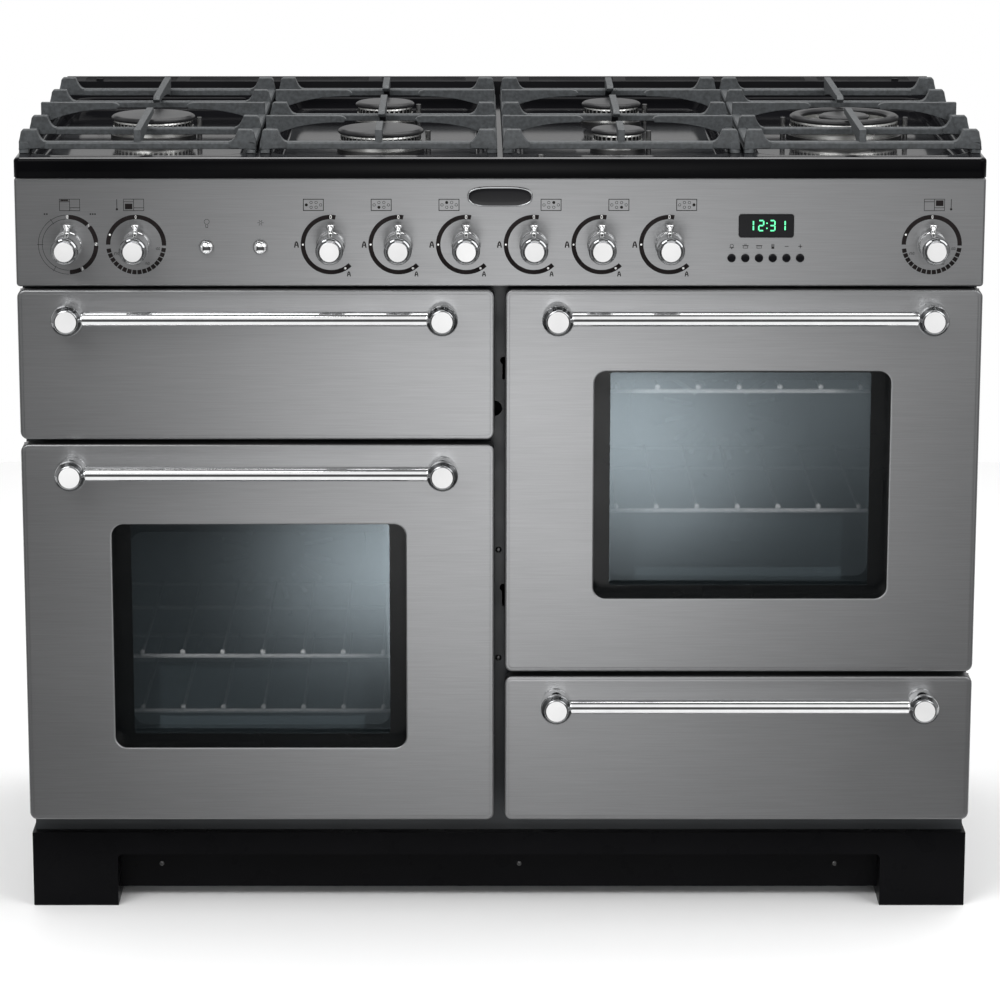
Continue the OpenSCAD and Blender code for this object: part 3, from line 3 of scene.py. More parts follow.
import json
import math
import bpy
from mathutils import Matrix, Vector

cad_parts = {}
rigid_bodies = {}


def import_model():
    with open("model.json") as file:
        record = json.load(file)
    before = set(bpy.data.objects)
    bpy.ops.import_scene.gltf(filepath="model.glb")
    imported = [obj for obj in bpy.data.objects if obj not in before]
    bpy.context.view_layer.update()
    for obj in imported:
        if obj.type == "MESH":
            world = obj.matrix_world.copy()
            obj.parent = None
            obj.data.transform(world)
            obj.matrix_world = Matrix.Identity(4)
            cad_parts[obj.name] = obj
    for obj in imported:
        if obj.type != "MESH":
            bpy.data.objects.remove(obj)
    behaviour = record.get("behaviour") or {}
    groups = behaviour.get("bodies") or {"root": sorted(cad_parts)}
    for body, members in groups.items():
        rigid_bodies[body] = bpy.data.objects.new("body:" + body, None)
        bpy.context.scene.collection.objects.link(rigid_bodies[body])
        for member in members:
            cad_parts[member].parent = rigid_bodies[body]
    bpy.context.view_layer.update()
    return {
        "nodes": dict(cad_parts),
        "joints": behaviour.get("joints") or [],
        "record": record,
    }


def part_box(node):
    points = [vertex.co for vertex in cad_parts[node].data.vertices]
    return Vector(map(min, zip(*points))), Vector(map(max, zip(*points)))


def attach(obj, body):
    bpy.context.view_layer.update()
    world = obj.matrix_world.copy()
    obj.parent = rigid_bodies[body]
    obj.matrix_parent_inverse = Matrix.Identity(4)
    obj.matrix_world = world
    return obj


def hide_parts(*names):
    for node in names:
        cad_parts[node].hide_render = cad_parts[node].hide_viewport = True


bl_info = {
    "name": "Range cooker",
    "version": (1, 0, 0),
    "blender": (4, 5, 0),
    "location": "View3D > Sidebar > Cooker",
    "description": "Makes the visible surfaces of a wide range cooker over its packed frame",
    "category": "Add Mesh",
}

import bmesh
import bpy
import numpy as np

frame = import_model()

MM = 0.001
ROOT = "root"

FRONTS = {
    "grill_door": ("grill_door_panel", "grill_door_handle"),
    "left_oven_door": ("left_door_panel", "left_door_handle"),
    "right_oven_door": ("right_door_panel", "right_door_handle"),
    "drawer": ("drawer_front", "drawer_handle"),
}
WINDOWS = {
    "left_oven_door": ("left_door_glass", "left"),
    "right_oven_door": ("right_door_glass", "right"),
}
HOB_KNOBS = [f"knob_hob_{i}" for i in range(1, 7)]
OVEN_KNOBS = ["knob_left_oven", "knob_right_oven"]
KNOBS = ["knob_grill"] + OVEN_KNOBS + HOB_KNOBS
KEYS = [f"clock_key_{i}" for i in range(1, 7)]
BUTTONS = ["light_button", "spark_button"]
GRATES = [f"pan_support_{i}" for i in range(1, 5)]
FACE_FINISHES = ["chrome", "face_polish", "shadow_chrome"]


def corners(node):
    """The lowest and highest corner of a node of the frame, as arrays."""
    low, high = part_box(node)
    return np.array(low), np.array(high)


def middle(node):
    """The middle of a node's box."""
    return sum(corners(node)) / 2


def front_axis(node):
    """Across and up of a knob's axis: the box is as wide as the knob, its peg stands above it."""
    low, high = corners(node)
    return np.array([(low[0] + high[0]) / 2, low[2] + (high[0] - low[0]) / 2])


HOB_LOW, HOB_HIGH = corners("hob_plate")
FASCIA_Y = corners("fascia")[0][1]
RIM_Z = HOB_HIGH[2]


# Sizes and colours


def length(name, description, millimetres):
    """A length property with its default given in millimetres."""
    return bpy.props.FloatProperty(
        name=name, description=description, default=millimetres * MM, unit="LENGTH", precision=4
    )


def colour(name, description, value):
    """A colour property in linear values."""
    return bpy.props.FloatVectorProperty(
        name=name, description=description, default=value, subtype="COLOR", size=3, min=0, max=1
    )


class CookerSizes(bpy.types.PropertyGroup):
    """Sizes of the parts that the frame's boxes don't give."""

    sheet: length("Sheet", "Thickness of the folded steel", 2)
    edge: length("Edge", "Rounding of a front's edges", 2.6)
    border: length("Border", "Width of the shallow border round a front", 4.4)
    border_low: length("Border depth", "Depth of the shallow border round a front", 0.22)
    corner: length("Corner", "Rounding of a front's corners", 9)
    window_w: length("Window width", "Width of a window's cut-out", 339)
    window_h: length("Window height", "Height of a window's cut-out", 268)
    window_r: length("Window corner", "Rounding of a window's corners", 14)
    view_w: length("Clear width", "Width of the clear part of the inner pane", 300)
    view_h: length("Clear height", "Height of the clear part of the inner pane", 252)
    view_r: length("Clear corner", "Rounding of the clear part of the inner pane", 3)
    bar: length("Handle bar", "Diameter of a handle's bar", 17)
    bar_out: length("Bar distance", "Distance of a handle's bar from its front", 28)
    boss: length("Handle boss", "Diameter of a handle's end boss", 36)
    boss_face: length("Boss face", "Diameter of the flat face of a handle's boss", 24.5)
    knob_face: length("Knob face", "Diameter of a knob's flat face", 22.6)
    ring_outer: length("Ring outer radius", "Outer radius of a printed dial ring", 34.2)
    ring_inner: length("Ring inner radius", "Inner radius of a printed dial ring", 29.2)
    print_t: length("Print", "Thickness of the printed marks", 0.12)
    badge_w: length("Plate width", "Width of the bare plate above the knobs", 74)
    badge_h: length("Plate height", "Height of the bare plate above the knobs", 22.5)
    well_w: length("Well width", "Width of a spill well", 244)
    well_depth: length("Well depth", "Depth of a spill well", 14)
    cast_edge: length("Casting edge", "Rounding of the pan supports' edges", 1.4)


class CookerColours(bpy.types.PropertyGroup):
    """Colours of the cooker's finishes."""

    steel: colour("Steel", "Brushed steel of the fronts", (0.185, 0.187, 0.190))
    chrome: colour("Chrome", "Handles, knobs and buttons", (0.86, 0.865, 0.87))
    enamel: colour("Hob enamel", "Gloss enamel of the hob plate", (0.006, 0.006, 0.007))
    plinth: colour("Plinth", "Black paint of plinth and sides", (0.003, 0.003, 0.0035))
    iron: colour("Cast iron", "Pan supports", (0.040, 0.044, 0.047))
    print: colour("Print", "Printed marks", (0.012, 0.010, 0.010))
    frame: colour("Front frame", "Grey paint behind the fronts", (0.030, 0.033, 0.036))
    oven: colour("Oven enamel", "Inside of the ovens", (0.030, 0.033, 0.036))
    glass: colour("Glass", "Tint of the oven panes", (0.012, 0.016, 0.018))
    digits: colour("Digits", "Lit digits of the clock", (0.10, 0.75, 0.32))
    aluminium: colour("Burner alloy", "Burner heads and bases", (0.52, 0.52, 0.51))
    zinc: colour("Zinc steel", "Hidden plated sheet", (0.42, 0.43, 0.44))
    brass: colour("Brass", "Gas taps and rail", (0.60, 0.44, 0.20))
    floor: colour("Floor", "Floor of the stage", (0.9, 0.9, 0.9))


# Surfaces


def on_circle(angle):
    """Points on the unit circle: cosine and sine of the angles."""
    return np.stack([np.cos(angle), np.sin(angle)], -1)


def rounded_loop(width, height, radius, steps=8):
    """A closed rounded rectangle about the origin: four quarter circles of the radius, a straight
    side between each two of them. Returns 4 * (steps + 1) points."""
    quarter = np.repeat(np.arange(4), steps + 1)
    angle = np.tile(np.linspace(0, np.pi / 2, steps + 1), 4) + quarter * np.pi / 2
    signs = np.array([(1, 1), (-1, 1), (-1, -1), (1, -1)])[quarter]
    return signs * (np.array([width, height]) / 2 - radius) + radius * on_circle(angle)


def circle_loop(radius, steps=64):
    """A circle about the origin: radius times cosine and sine of evenly spaced angles."""
    return radius * on_circle(np.arange(steps) * 2 * np.pi / steps)


def turned(profile, steps=64):
    """A surface of revolution about the third axis: each profile point (radius, height) is carried
    round a circle. Returns a grid of profile points by steps."""
    profile = np.asarray(profile, float)
    ring = circle_loop(1, steps)
    flat = profile[:, None, 0, None] * ring[None]
    high = np.broadcast_to(profile[:, None, 1, None], flat.shape[:2] + (1,))
    return np.concatenate([flat, high], -1)


def rounded_profile(points, radii, steps=5):
    """A profile with rounded corners, given in millimetres: each inner point is replaced by a curve
    between two points at its radius along both sides, p(t) = (1-t)^2 a + 2t(1-t) b + t^2 c."""
    points = np.asarray(points, float) * MM
    rows = [points[:1]]
    t = np.linspace(0, 1, steps)[:, None]
    for before, here, after, radius in zip(points, points[1:], points[2:], radii):
        one, two = before - here, after - here
        reach = min(radius * MM, np.linalg.norm(one) / 2, np.linalg.norm(two) / 2)
        a = here + one / np.linalg.norm(one) * reach
        c = here + two / np.linalg.norm(two) * reach
        rows.append((1 - t) ** 2 * a + 2 * t * (1 - t) * here + t**2 * c)
    rows.append(points[-1:])
    return np.concatenate(rows)


def tube(path, radius, steps=20):
    """A round tube along a path: at each point a circle of the radius in the plane square to the
    path, its first direction square to the path and to a fixed axis."""
    path = np.asarray(path, float)
    along = np.gradient(path, axis=0)
    along /= np.linalg.norm(along, axis=1)[:, None]
    fixed = np.array([0, 0, 1.0]) if abs(along[:, 2]).max() < 0.9 else np.array([0, 1.0, 0])
    side = np.cross(along, fixed)
    side /= np.linalg.norm(side, axis=1)[:, None]
    up = np.cross(side, along)
    ring = circle_loop(1, steps)
    radius = np.broadcast_to(np.asarray(radius, float), (len(path),))[:, None, None]
    return path[:, None] + radius * (ring[:, :1] * side[:, None] + ring[:, 1:] * up[:, None])


class Surface:
    """Grids of points gathered into one closed mesh."""

    def __init__(self):
        self.points, self.faces, self.marks, self.count = [], [], [], 0

    def take(self, points, faces, mark):
        """Adds points with faces that number them from 0: an array with a row for each face."""
        self.points.append(points.reshape(-1, 3))
        self.faces.append(faces + self.count)
        self.marks.append(np.broadcast_to(mark, (len(faces),)))
        self.count += len(self.points[-1])
        return self

    def grid(self, points, around=True, along=False, mark=0):
        """Adds a grid of rows by columns points as quads; around joins the last column to the
        first, along joins the last row to the first."""
        rows, columns = points.shape[:2]
        i = np.arange(rows if along else rows - 1)[:, None]
        j = np.arange(columns if around else columns - 1)[None]
        k, m = (i + 1) % rows, (j + 1) % columns
        quads = np.stack([i * columns + j, i * columns + m, k * columns + m, k * columns + j], -1)
        marks = np.broadcast_to(mark, quads.shape[:2]).ravel()
        return self.take(points, quads.reshape(-1, 4), marks)

    def plate(self, loop, mark=0):
        """Closes a flat loop with one face."""
        return self.take(np.asarray(loop), np.arange(len(loop))[None], mark)

    def closed(self, points, mark=0):
        """Adds a tube of loops with both flat ends closed."""
        return self.plate(points[0], mark).plate(points[-1], mark).grid(points, mark=mark)

    def piece(self, name, body, finishes, slot="", replaces=(), sharp=35, bevel=0):
        """Makes the object: doubles merged, normals outwards, edges over the angle sharp."""
        points = np.concatenate(self.points).astype(np.float32)
        corners = np.concatenate([group.ravel() for group in self.faces]).astype(np.int32)
        sizes = np.concatenate([np.full(len(group), group.shape[1]) for group in self.faces])
        starts = np.concatenate([[0], np.cumsum(sizes)[:-1]]).astype(np.int32)
        mesh = bpy.data.meshes.new(name)
        mesh.vertices.add(len(points))
        mesh.vertices.foreach_set("co", points.ravel())
        mesh.loops.add(len(corners))
        mesh.loops.foreach_set("vertex_index", corners)
        mesh.polygons.add(len(starts))
        mesh.polygons.foreach_set("loop_start", starts)
        mesh.polygons.foreach_set("material_index", np.concatenate(self.marks).astype(np.int32))
        mesh.update(calc_edges=True)
        return put_in(name, mesh, body, finishes, replaces, sharp, bevel)


def put_in(name, mesh, body, finishes, replaces, sharp, bevel):
    """Cleans a mesh, links its object and fastens it to its body."""
    work = bmesh.new()
    work.from_mesh(mesh)
    bmesh.ops.remove_doubles(work, verts=work.verts, dist=2e-6)
    bmesh.ops.dissolve_degenerate(work, edges=work.edges, dist=1e-7)
    bmesh.ops.recalc_face_normals(work, faces=work.faces)
    work.to_mesh(mesh)
    work.free()
    mesh.polygons.foreach_set("use_smooth", np.ones(len(mesh.polygons), bool))
    mesh.set_sharp_from_angle(angle=math.radians(sharp))
    made = bpy.data.objects.new(name, mesh)
    bpy.context.scene.collection.objects.link(made)
    for finish in finishes:
        mesh.materials.append(Finish.made[finish])
    if bevel:
        modifier = made.modifiers.new("rounded_edges", "BEVEL")
        modifier.width = bevel
        modifier.segments = 3
        modifier.limit_method = "ANGLE"
        modifier.angle_limit = math.radians(30)
        modifier.harden_normals = True
    if body is None:
        return made
    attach(made, body)
    if replaces:
        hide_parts(*replaces)
    return made


def stand(flat, y):
    """Stands flat (across, up) points up in the plane at y."""
    flat = np.asarray(flat, float)
    y = np.broadcast_to(np.asarray(y, float), flat.shape[:-1])
    return np.stack([flat[..., 0], y, flat[..., 1]], -1)


def lay(flat, z):
    """Lays flat (across, along) points down at a height."""
    return np.concatenate([flat, np.full(flat.shape[:-1] + (1,), z)], -1)


def facing_front(grid, centre, back):
    """Turns a surface about the third axis so that it faces -Y, its base at the back plane."""
    return np.stack([centre[0] + grid[..., 0], back - grid[..., 2], centre[1] + grid[..., 1]], -1)


# Finishes


class Nodes:
    """The node tree of a material or world, emptied and built up again."""

    def __init__(self, owner):
        owner.use_nodes = True
        self.tree = owner.node_tree
        self.tree.nodes.clear()

    def node(self, kind, **values):
        """A new node with some of its properties set."""
        made = self.tree.nodes.new(kind)
        for key, value in values.items():
            setattr(made, key, value)
        return made

    def feed(self, node, **values):
        """Gives a node's inputs an output or a constant; underscores stand for spaces."""
        for key, value in values.items():
            self.into(node.inputs[key.replace("_", " ")], value)

    def into(self, socket, value):
        """Links an output to a socket, or sets the socket to a constant."""
        if isinstance(value, bpy.types.NodeSocket):
            self.tree.links.new(value, socket)
        else:
            socket.default_value = value

    def maths(self, operation, *values):
        """A maths node on outputs and numbers."""
        made = self.node("ShaderNodeMath", operation=operation)
        for socket, value in zip(made.inputs, values):
            self.into(socket, value)
        return made.outputs[0]

    def span(self, value, low, high, start, end, kind="LINEAR"):
        """Runs from start to end as the value goes from low to high."""
        made = self.node("ShaderNodeMapRange", interpolation_type=kind)
        self.feed(made, Value=value, From_Min=low, From_Max=high, To_Min=start, To_Max=end)
        return made.outputs["Result"]


class Finish(Nodes):
    """A node material on Object coordinates, built up in steps."""

    made = {}

    def __init__(self, name, roughness=0.5, metallic=0.0):
        self.material = bpy.data.materials.get(name) or bpy.data.materials.new(name)
        super().__init__(self.material)
        self.out = self.node("ShaderNodeOutputMaterial")
        self.shader = self.node("ShaderNodeBsdfPrincipled")
        self.feed(self.out, Surface=self.shader.outputs["BSDF"])
        self.socket(Roughness=roughness, Metallic=metallic)
        self.place = self.node("ShaderNodeTexCoord").outputs["Object"]
        self.bump = None
        Finish.made[name] = self.material

    def socket(self, **values):
        """Gives the shader's own sockets an output or a constant."""
        self.feed(self.shader, **values)
        return self

    def placed(self, scale, location=(0, 0, 0)):
        """The Object coordinates scaled along the axes and moved."""
        mapping = self.node("ShaderNodeMapping")
        self.feed(mapping, Vector=self.place, Scale=scale, Location=location)
        return mapping.outputs["Vector"]

    def noise(self, scale, detail=3.0, stretch=(1, 1, 1)):
        """Fractal noise at a scale per metre, stretched along the axes."""
        noise = self.node("ShaderNodeTexNoise")
        self.feed(noise, Vector=self.placed(stretch), Scale=scale, Detail=detail)
        return noise.outputs["Fac"]

    def cells(self, scale):
        """Distance to the nearest point of a cell pattern."""
        cells = self.node("ShaderNodeTexVoronoi")
        self.feed(cells, Vector=self.placed((1, 1, 1)), Scale=scale)
        return cells.outputs["Distance"]

    def colours(self, factor, tint, low, high, low_at=0.3, high_at=0.7):
        """The base colour runs from low times the tint to high times it, as the factor goes from
        low_at to high_at."""
        ramp = self.node("ShaderNodeValToRGB")
        for stop, at, share in zip(ramp.color_ramp.elements, (low_at, high_at), (low, high)):
            stop.position = at
            stop.color = (*shade(tint, share), 1)
        self.feed(ramp, Fac=factor)
        return self.socket(Base_Color=ramp.outputs["Color"])

    def roughness(self, factor, low, high):
        """The roughness runs from low to high as the factor goes from 0.3 to 0.7."""
        return self.socket(Roughness=self.span(factor, 0.3, 0.7, low, high))

    def raised(self, factor, height, strength):
        """Bumps of a height in metres, over those made before."""
        bump = self.node("ShaderNodeBump")
        self.feed(bump, Strength=strength, Distance=height, Height=factor)
        if self.bump is not None:
            self.feed(bump, Normal=self.bump)
        self.bump = bump.outputs["Normal"]
        return self.socket(Normal=self.bump)


def shade(tint, factor):
    """A colour times a factor."""
    return tuple(min(1.0, part * factor) for part in tint)


def brushed_steel(name, tint, stretch, roughness=0.38):
    """Brushed steel: hairlines along one axis in colour and bump, its gloss drawn out across them."""
    finish = Finish(name, metallic=1.0)
    hairs = finish.noise(1.0, 2.0, stretch)
    finish.colours(hairs, tint, 0.93, 1.07, 0.25, 0.75)
    finish.roughness(finish.noise(4.0, 2.0), roughness - 0.01, roughness + 0.02)
    finish.socket(Anisotropic=0.4, Anisotropic_Rotation=0.25)
    finish.raised(hairs, 0.00001, 0.12)


def chrome(name, tint):
    """Polished chrome with faint smears in its roughness."""
    finish = Finish(name, metallic=1.0)
    smears = finish.noise(60.0)
    finish.colours(smears, tint, 0.97, 1.03).roughness(smears, 0.05, 0.10)


def gloss_enamel(name, tint, roughness=0.12, shine=0.5, speckle=0.0):
    """Vitreous enamel: gloss coat with a slight orange peel and, if wanted, pale speckles."""
    finish = Finish(name)
    if speckle:
        finish.colours(finish.cells(420.0), tint, 1 + speckle, 1, 0.12, 0.22)
    else:
        finish.colours(finish.noise(9.0), tint, 0.8, 1.25)
    finish.roughness(finish.noise(14.0), roughness * 0.92, roughness * 1.1)
    finish.socket(Specular_IOR_Level=shine)
    finish.raised(finish.noise(160.0, 2.0), 0.00004, 0.2)


def paint(name, tint, roughness=0.4, shine=0.5):
    """Powder-coat paint with a fine grain."""
    finish = Finish(name)
    finish.colours(finish.noise(6.0, 4.0), tint, 0.85, 1.2)
    finish.roughness(finish.noise(25.0), roughness - 0.05, roughness + 0.06)
    finish.socket(Specular_IOR_Level=shine)
    finish.raised(finish.noise(900.0, 2.0), 0.00005, 0.4)


def cast_iron(name, tint):
    """Matt enamelled cast iron: coarse and fine grain, paler on the high grains."""
    finish = Finish(name)
    fine, coarse = finish.noise(1100.0), finish.noise(260.0, 4.0)
    finish.colours(coarse, tint, 0.7, 1.5).roughness(fine, 0.42, 0.62)
    finish.raised(coarse, 0.00025, 0.6).raised(fine, 0.00008, 0.6)


def plated(name, tint, roughness=0.38, cloud=0.12):
    """Zinc-plated or cast metal with a cloudy spangle."""
    finish = Finish(name, metallic=1.0)
    finish.colours(finish.cells(55.0), tint, 1 - cloud, 1 + cloud * 0.8, 0.1, 0.9)
    finish.roughness(finish.noise(40.0, 4.0), roughness - 0.08, roughness + 0.1)
    finish.raised(finish.noise(700.0, 2.0), 0.00003, 0.4)


def shaded_oven_wire(name, tint, front):
    """Plated oven wire, bright at the mouth of the oven and darkened 14 mm behind it: painted shade, as the
    wires run back into the dark of the oven.
    """
    finish = Finish(name, metallic=0.3)
    parts = finish.node("ShaderNodeSeparateXYZ")
    finish.feed(parts, Vector=finish.place)
    depth = finish.span(parts.outputs["Y"], front, front + 14 * MM, 0.0, 1.0)
    finish.colours(depth, tint, 1, 0.2, 0.4, 0.9)
    finish.roughness(finish.noise(40.0, 4.0), 0.3, 0.45)
    finish.raised(finish.noise(700.0, 2.0), 0.00003, 0.4)


def rubber(name, tint, shine=0.3):
    """Matt rubber, plastic or ink with a soft mottle."""
    finish = Finish(name)
    mottle = finish.noise(80.0, 4.0)
    finish.colours(mottle, tint, 0.8, 1.3).roughness(mottle, 0.55, 0.7)
    finish.socket(Specular_IOR_Level=shine)
    finish.raised(finish.noise(1500.0, 2.0), 0.00004, 0.5)


def oven_glass(name, tint, cover, index, tinge):
    """Oven glass: its cover is the share of light that it stops, its index sets how it mirrors."""
    finish = Finish(name)
    finish.colours(finish.noise(3.0, 2.0), tint, 0.9, 1.1)
    finish.roughness(finish.noise(30.0), 0.02, 0.05)
    finish.socket(Alpha=cover, IOR=index, Specular_Tint=(*tinge, 1.0))


def lit(name, tint, strength):
    """A lit digit: a plain glow with a faint mottle below it."""
    finish = Finish(name)
    finish.colours(finish.noise(400.0, 2.0), tint, 0.9, 1.1)
    finish.socket(Emission_Color=(*tint, 1), Emission_Strength=strength)


# Operators


class CookerPiece:
    """What the cooker's operators share."""

    bl_options = {"REGISTER", "UNDO"}

    @property
    def sizes(self):
        return bpy.context.scene.cooker_sizes

    @property
    def colours(self):
        return bpy.context.scene.cooker_colours

    def execute(self, context):
        self.make()
        return {"FINISHED"}


class COOKER_OT_stage(CookerPiece, bpy.types.Operator):
    """Set the camera, the lamps, the pale floor and the white surroundings"""

    bl_idname = "cooker.stage"
    bl_label = "Stage"

    camera_at = (-0.0305, -4.873, 1.5583)
    camera_pitch = 0.2264
    camera_lens = 147.77
    camera_shift = 0.0269
    soft_light = 0.66
    floor_half = np.array([3.6, 1.35])
    floor_middle = np.array([0.0, 0.88])
    front_half = np.array([4.0, 3.3])
    front_solid = 0.72
    screen_middle = np.array([0.0, -1.55, 0.33])
    screen_half = np.array([1.5, 0.0, 1.2])
    bells = (((0.0, 0.0, 0.0), 0.33, 5.7), ((0.55, 0.0, 0.42), 0.43, 1.1))
    lamps = (
        ("key", (-1.6, -2.6, 3.0), (0, -0.1, 0.7), 2.2, 78),
        ("fill", (2.2, -1.8, 2.4), (0, 0, 0.6), 2.0, 44),
        ("top", (0.2, 0.6, 3.2), (0, 0, 0.9), 2.4, 60),
    )
    oven_lamp_size = 0.24
    oven_lamp_power = 0.42

    def make(self):
        scene = bpy.context.scene
        scene.view_settings.view_transform = "Standard"
        self.camera(scene)
        self.surroundings(scene)
        self.floor()
        self.screen()
        for lamp in self.lamps:
            self.lamp(*lamp)
        for side in ("left", "right"):
            glass = f"{side}_door_glass"
            x, y, z = middle(glass)[0], corners(glass)[1][1], middle(glass)[2]
            place, aim = (x, y + 3 * MM, z), (x, y + 300 * MM, z - 20 * MM)
            lamp = self.lamp(side + "_oven_light", place, aim, self.oven_lamp_size, self.oven_lamp_power)
            self.hide(lamp, "glossy")

    def hide(self, made, *rays):
        """Hides an object from kinds of rays."""
        for ray in rays:
            setattr(made, "visible_" + ray, False)

    def camera(self, scene):
        data = bpy.data.cameras.new("camera")
        data.lens = self.camera_lens
        data.shift_x = self.camera_shift
        data.clip_end = 60
        camera = bpy.data.objects.new("camera", data)
        camera.location = self.camera_at
        camera.rotation_euler = (math.pi / 2 - self.camera_pitch, 0, 0)
        scene.collection.objects.link(camera)
        scene.camera = camera

    def surroundings(self, scene):
        """White for camera rays; the studio's bands and dark sides, by the ray's direction, for
        glossy and transmission rays; an even soft light for the rest."""
        world = bpy.data.worlds.new("studio")
        scene.world = world
        tree = Nodes(world)
        maths = tree.maths

        def rise(*values):
            return tree.span(*values, kind="SMOOTHSTEP")

        ways = tree.node("ShaderNodeSeparateXYZ")
        tree.feed(ways, Vector=tree.node("ShaderNodeTexCoord").outputs["Generated"])
        x, y, z = ways.outputs
        across = maths("ABSOLUTE", x)
        sides = rise(across, 0.38, 0.66, 1.0, 0.2)
        lateral = rise(across, 0.62, 0.82, 0.0, 0.45)
        above = rise(z, 0.66, 0.84, 1.0, 0.15)
        upper = rise(z, 0.08, 0.16, 0.0, 1.0)
        steep = rise(z, -0.60, -0.48, 0.95, 0.0)
        low = maths("MULTIPLY", rise(z, -0.05, 0.02, 0.08, 0.02), rise(z, 0.1, 0.12, 1.0, 0.0))
        front = maths("ADD", maths("ADD", upper, steep), low)
        behind = rise(y, -0.25, 0.15, 0.0, 1.0)
        ahead = maths("MULTIPLY", front, maths("SUBTRACT", 1.0, behind))
        both = maths("MULTIPLY_ADD", behind, 0.6, ahead)
        shown = maths("MULTIPLY", above, maths("MULTIPLY_ADD", sides, both, lateral))
        ray = tree.node("ShaderNodeLightPath").outputs
        mirrored = maths("MAXIMUM", ray["Is Glossy Ray"], ray["Is Transmission Ray"])
        strength = maths("MULTIPLY_ADD", mirrored, shown, ray["Is Camera Ray"])
        soft = maths("SUBTRACT", 1.0, maths("MAXIMUM", mirrored, ray["Is Camera Ray"]))
        background = tree.node("ShaderNodeBackground")
        strength = maths("MULTIPLY_ADD", soft, self.soft_light, strength)
        tree.feed(background, Color=(1, 1, 1, 1), Strength=strength)
        tree.feed(tree.node("ShaderNodeOutputWorld"), Surface=background.outputs[0])

    def floor(self):
        """A round floor, in rings from the middle to the rim, level with the feet, and a half ring in
        front of it for the shadows of open doors, clear at its far edge: its alpha falls as the
        distance in half widths of its ellipse goes from 0.72 to 1."""
        rings = np.linspace(0, 1, 30)[:, None, None] ** 1.5
        self.ground("floor", rings * circle_loop(1, 96) * self.floor_half + self.floor_middle)
        arc = on_circle(np.linspace(np.pi, 2 * np.pi, 49))
        spread = np.linspace(0, 1, 12)[:, None, None]
        half = self.floor_half + spread * (self.front_half - self.floor_half)
        finish, made = self.ground("front_floor", arc * half + self.floor_middle, around=False)
        away = finish.node("ShaderNodeVectorMath", operation="LENGTH")
        back = (0, -self.floor_middle[1] / self.front_half[1], 0)
        finish.into(away.inputs[0], finish.placed((*(1 / self.front_half), 1), back))
        alpha = finish.span(away.outputs["Value"], self.front_solid, 1.0, 1.0, 0.0, "SMOOTHSTEP")
        finish.socket(Alpha=alpha)
        self.hide(made, "glossy", "diffuse", "transmission", "shadow")

    def ground(self, name, flat, around=True):
        """A level piece of floor with its own faintly clouded finish."""
        finish = Finish(name, roughness=0.7)
        finish.colours(finish.noise(2.0), self.colours.floor, 0.995, 1.005)
        made = Surface().grid(lay(flat, 0), around=around).piece(name, None, [name])
        return finish, made

    def screen(self):
        """A tall soft screen in front, too low for the camera, that the steel and glass mirror."""
        steps = np.linspace(-1, 1, 3)
        across, up = np.meshgrid(steps, steps)
        points = self.screen_middle + np.stack([across, 0 * across, up], -1) * self.screen_half
        finish = Finish("screen")
        glow = finish.node("ShaderNodeEmission")
        lights = [self.bell(finish, self.screen_middle + at, reach, peak) for at, reach, peak in self.bells]
        finish.feed(glow, Strength=finish.maths("ADD", *lights))
        both = finish.node("ShaderNodeAddShader")
        finish.into(both.inputs[0], glow.outputs[0])
        finish.into(both.inputs[1], finish.node("ShaderNodeBsdfTransparent").outputs[0])
        finish.feed(finish.out, Surface=both.outputs[0])
        made = Surface().grid(points, around=False).piece("screen", None, ["screen"])
        self.hide(made, "camera", "diffuse", "shadow", "transmission")
        pieces = bpy.context.scene.objects
        made.light_linking.receiver_collection = self.all_but(
            [piece for piece in pieces if piece.name.endswith(("_handle", "_turned", "_domed"))],
            "screen_receivers",
        )
        made.light_linking.blocker_collection = self.all_but(
            [piece for piece in pieces if piece.name.endswith("_handle")], "screen_blockers"
        )

    def all_but(self, pieces, name):
        """A light-linking collection that leaves the pieces out and keeps every other one."""
        group = bpy.data.collections.new(name)
        for piece in pieces:
            group.objects.link(piece)
        for link in group.collection_objects:
            link.light_linking.link_state = "EXCLUDE"
        return group

    def bell(self, finish, centre, reach, peak):
        """A bell of light, peak * exp(-(distance / reach)^2)."""
        away = finish.node("ShaderNodeVectorMath", operation="DISTANCE")
        finish.into(away.inputs[0], finish.place)
        finish.into(away.inputs[1], tuple(centre))
        share = finish.maths("DIVIDE", away.outputs["Value"], reach)
        fall = finish.maths("MULTIPLY", finish.maths("POWER", share, 2.0), -1.0)
        return finish.maths("MULTIPLY", finish.maths("EXPONENT", fall), peak)

    def lamp(self, name, place, aim, size, power):
        """A square soft lamp that the camera doesn't see."""
        data = bpy.data.lights.new(name, "AREA")
        data.shape, data.size, data.energy = "SQUARE", size, power
        lamp = bpy.data.objects.new(name, data)
        x, y, z = np.array(aim) - np.array(place)
        lamp.location = place
        lamp.rotation_euler = (math.atan2(math.hypot(x, y), -z), 0, math.atan2(y, x) - math.pi / 2)
        self.hide(lamp, "camera")
        bpy.context.scene.collection.objects.link(lamp)
        return lamp


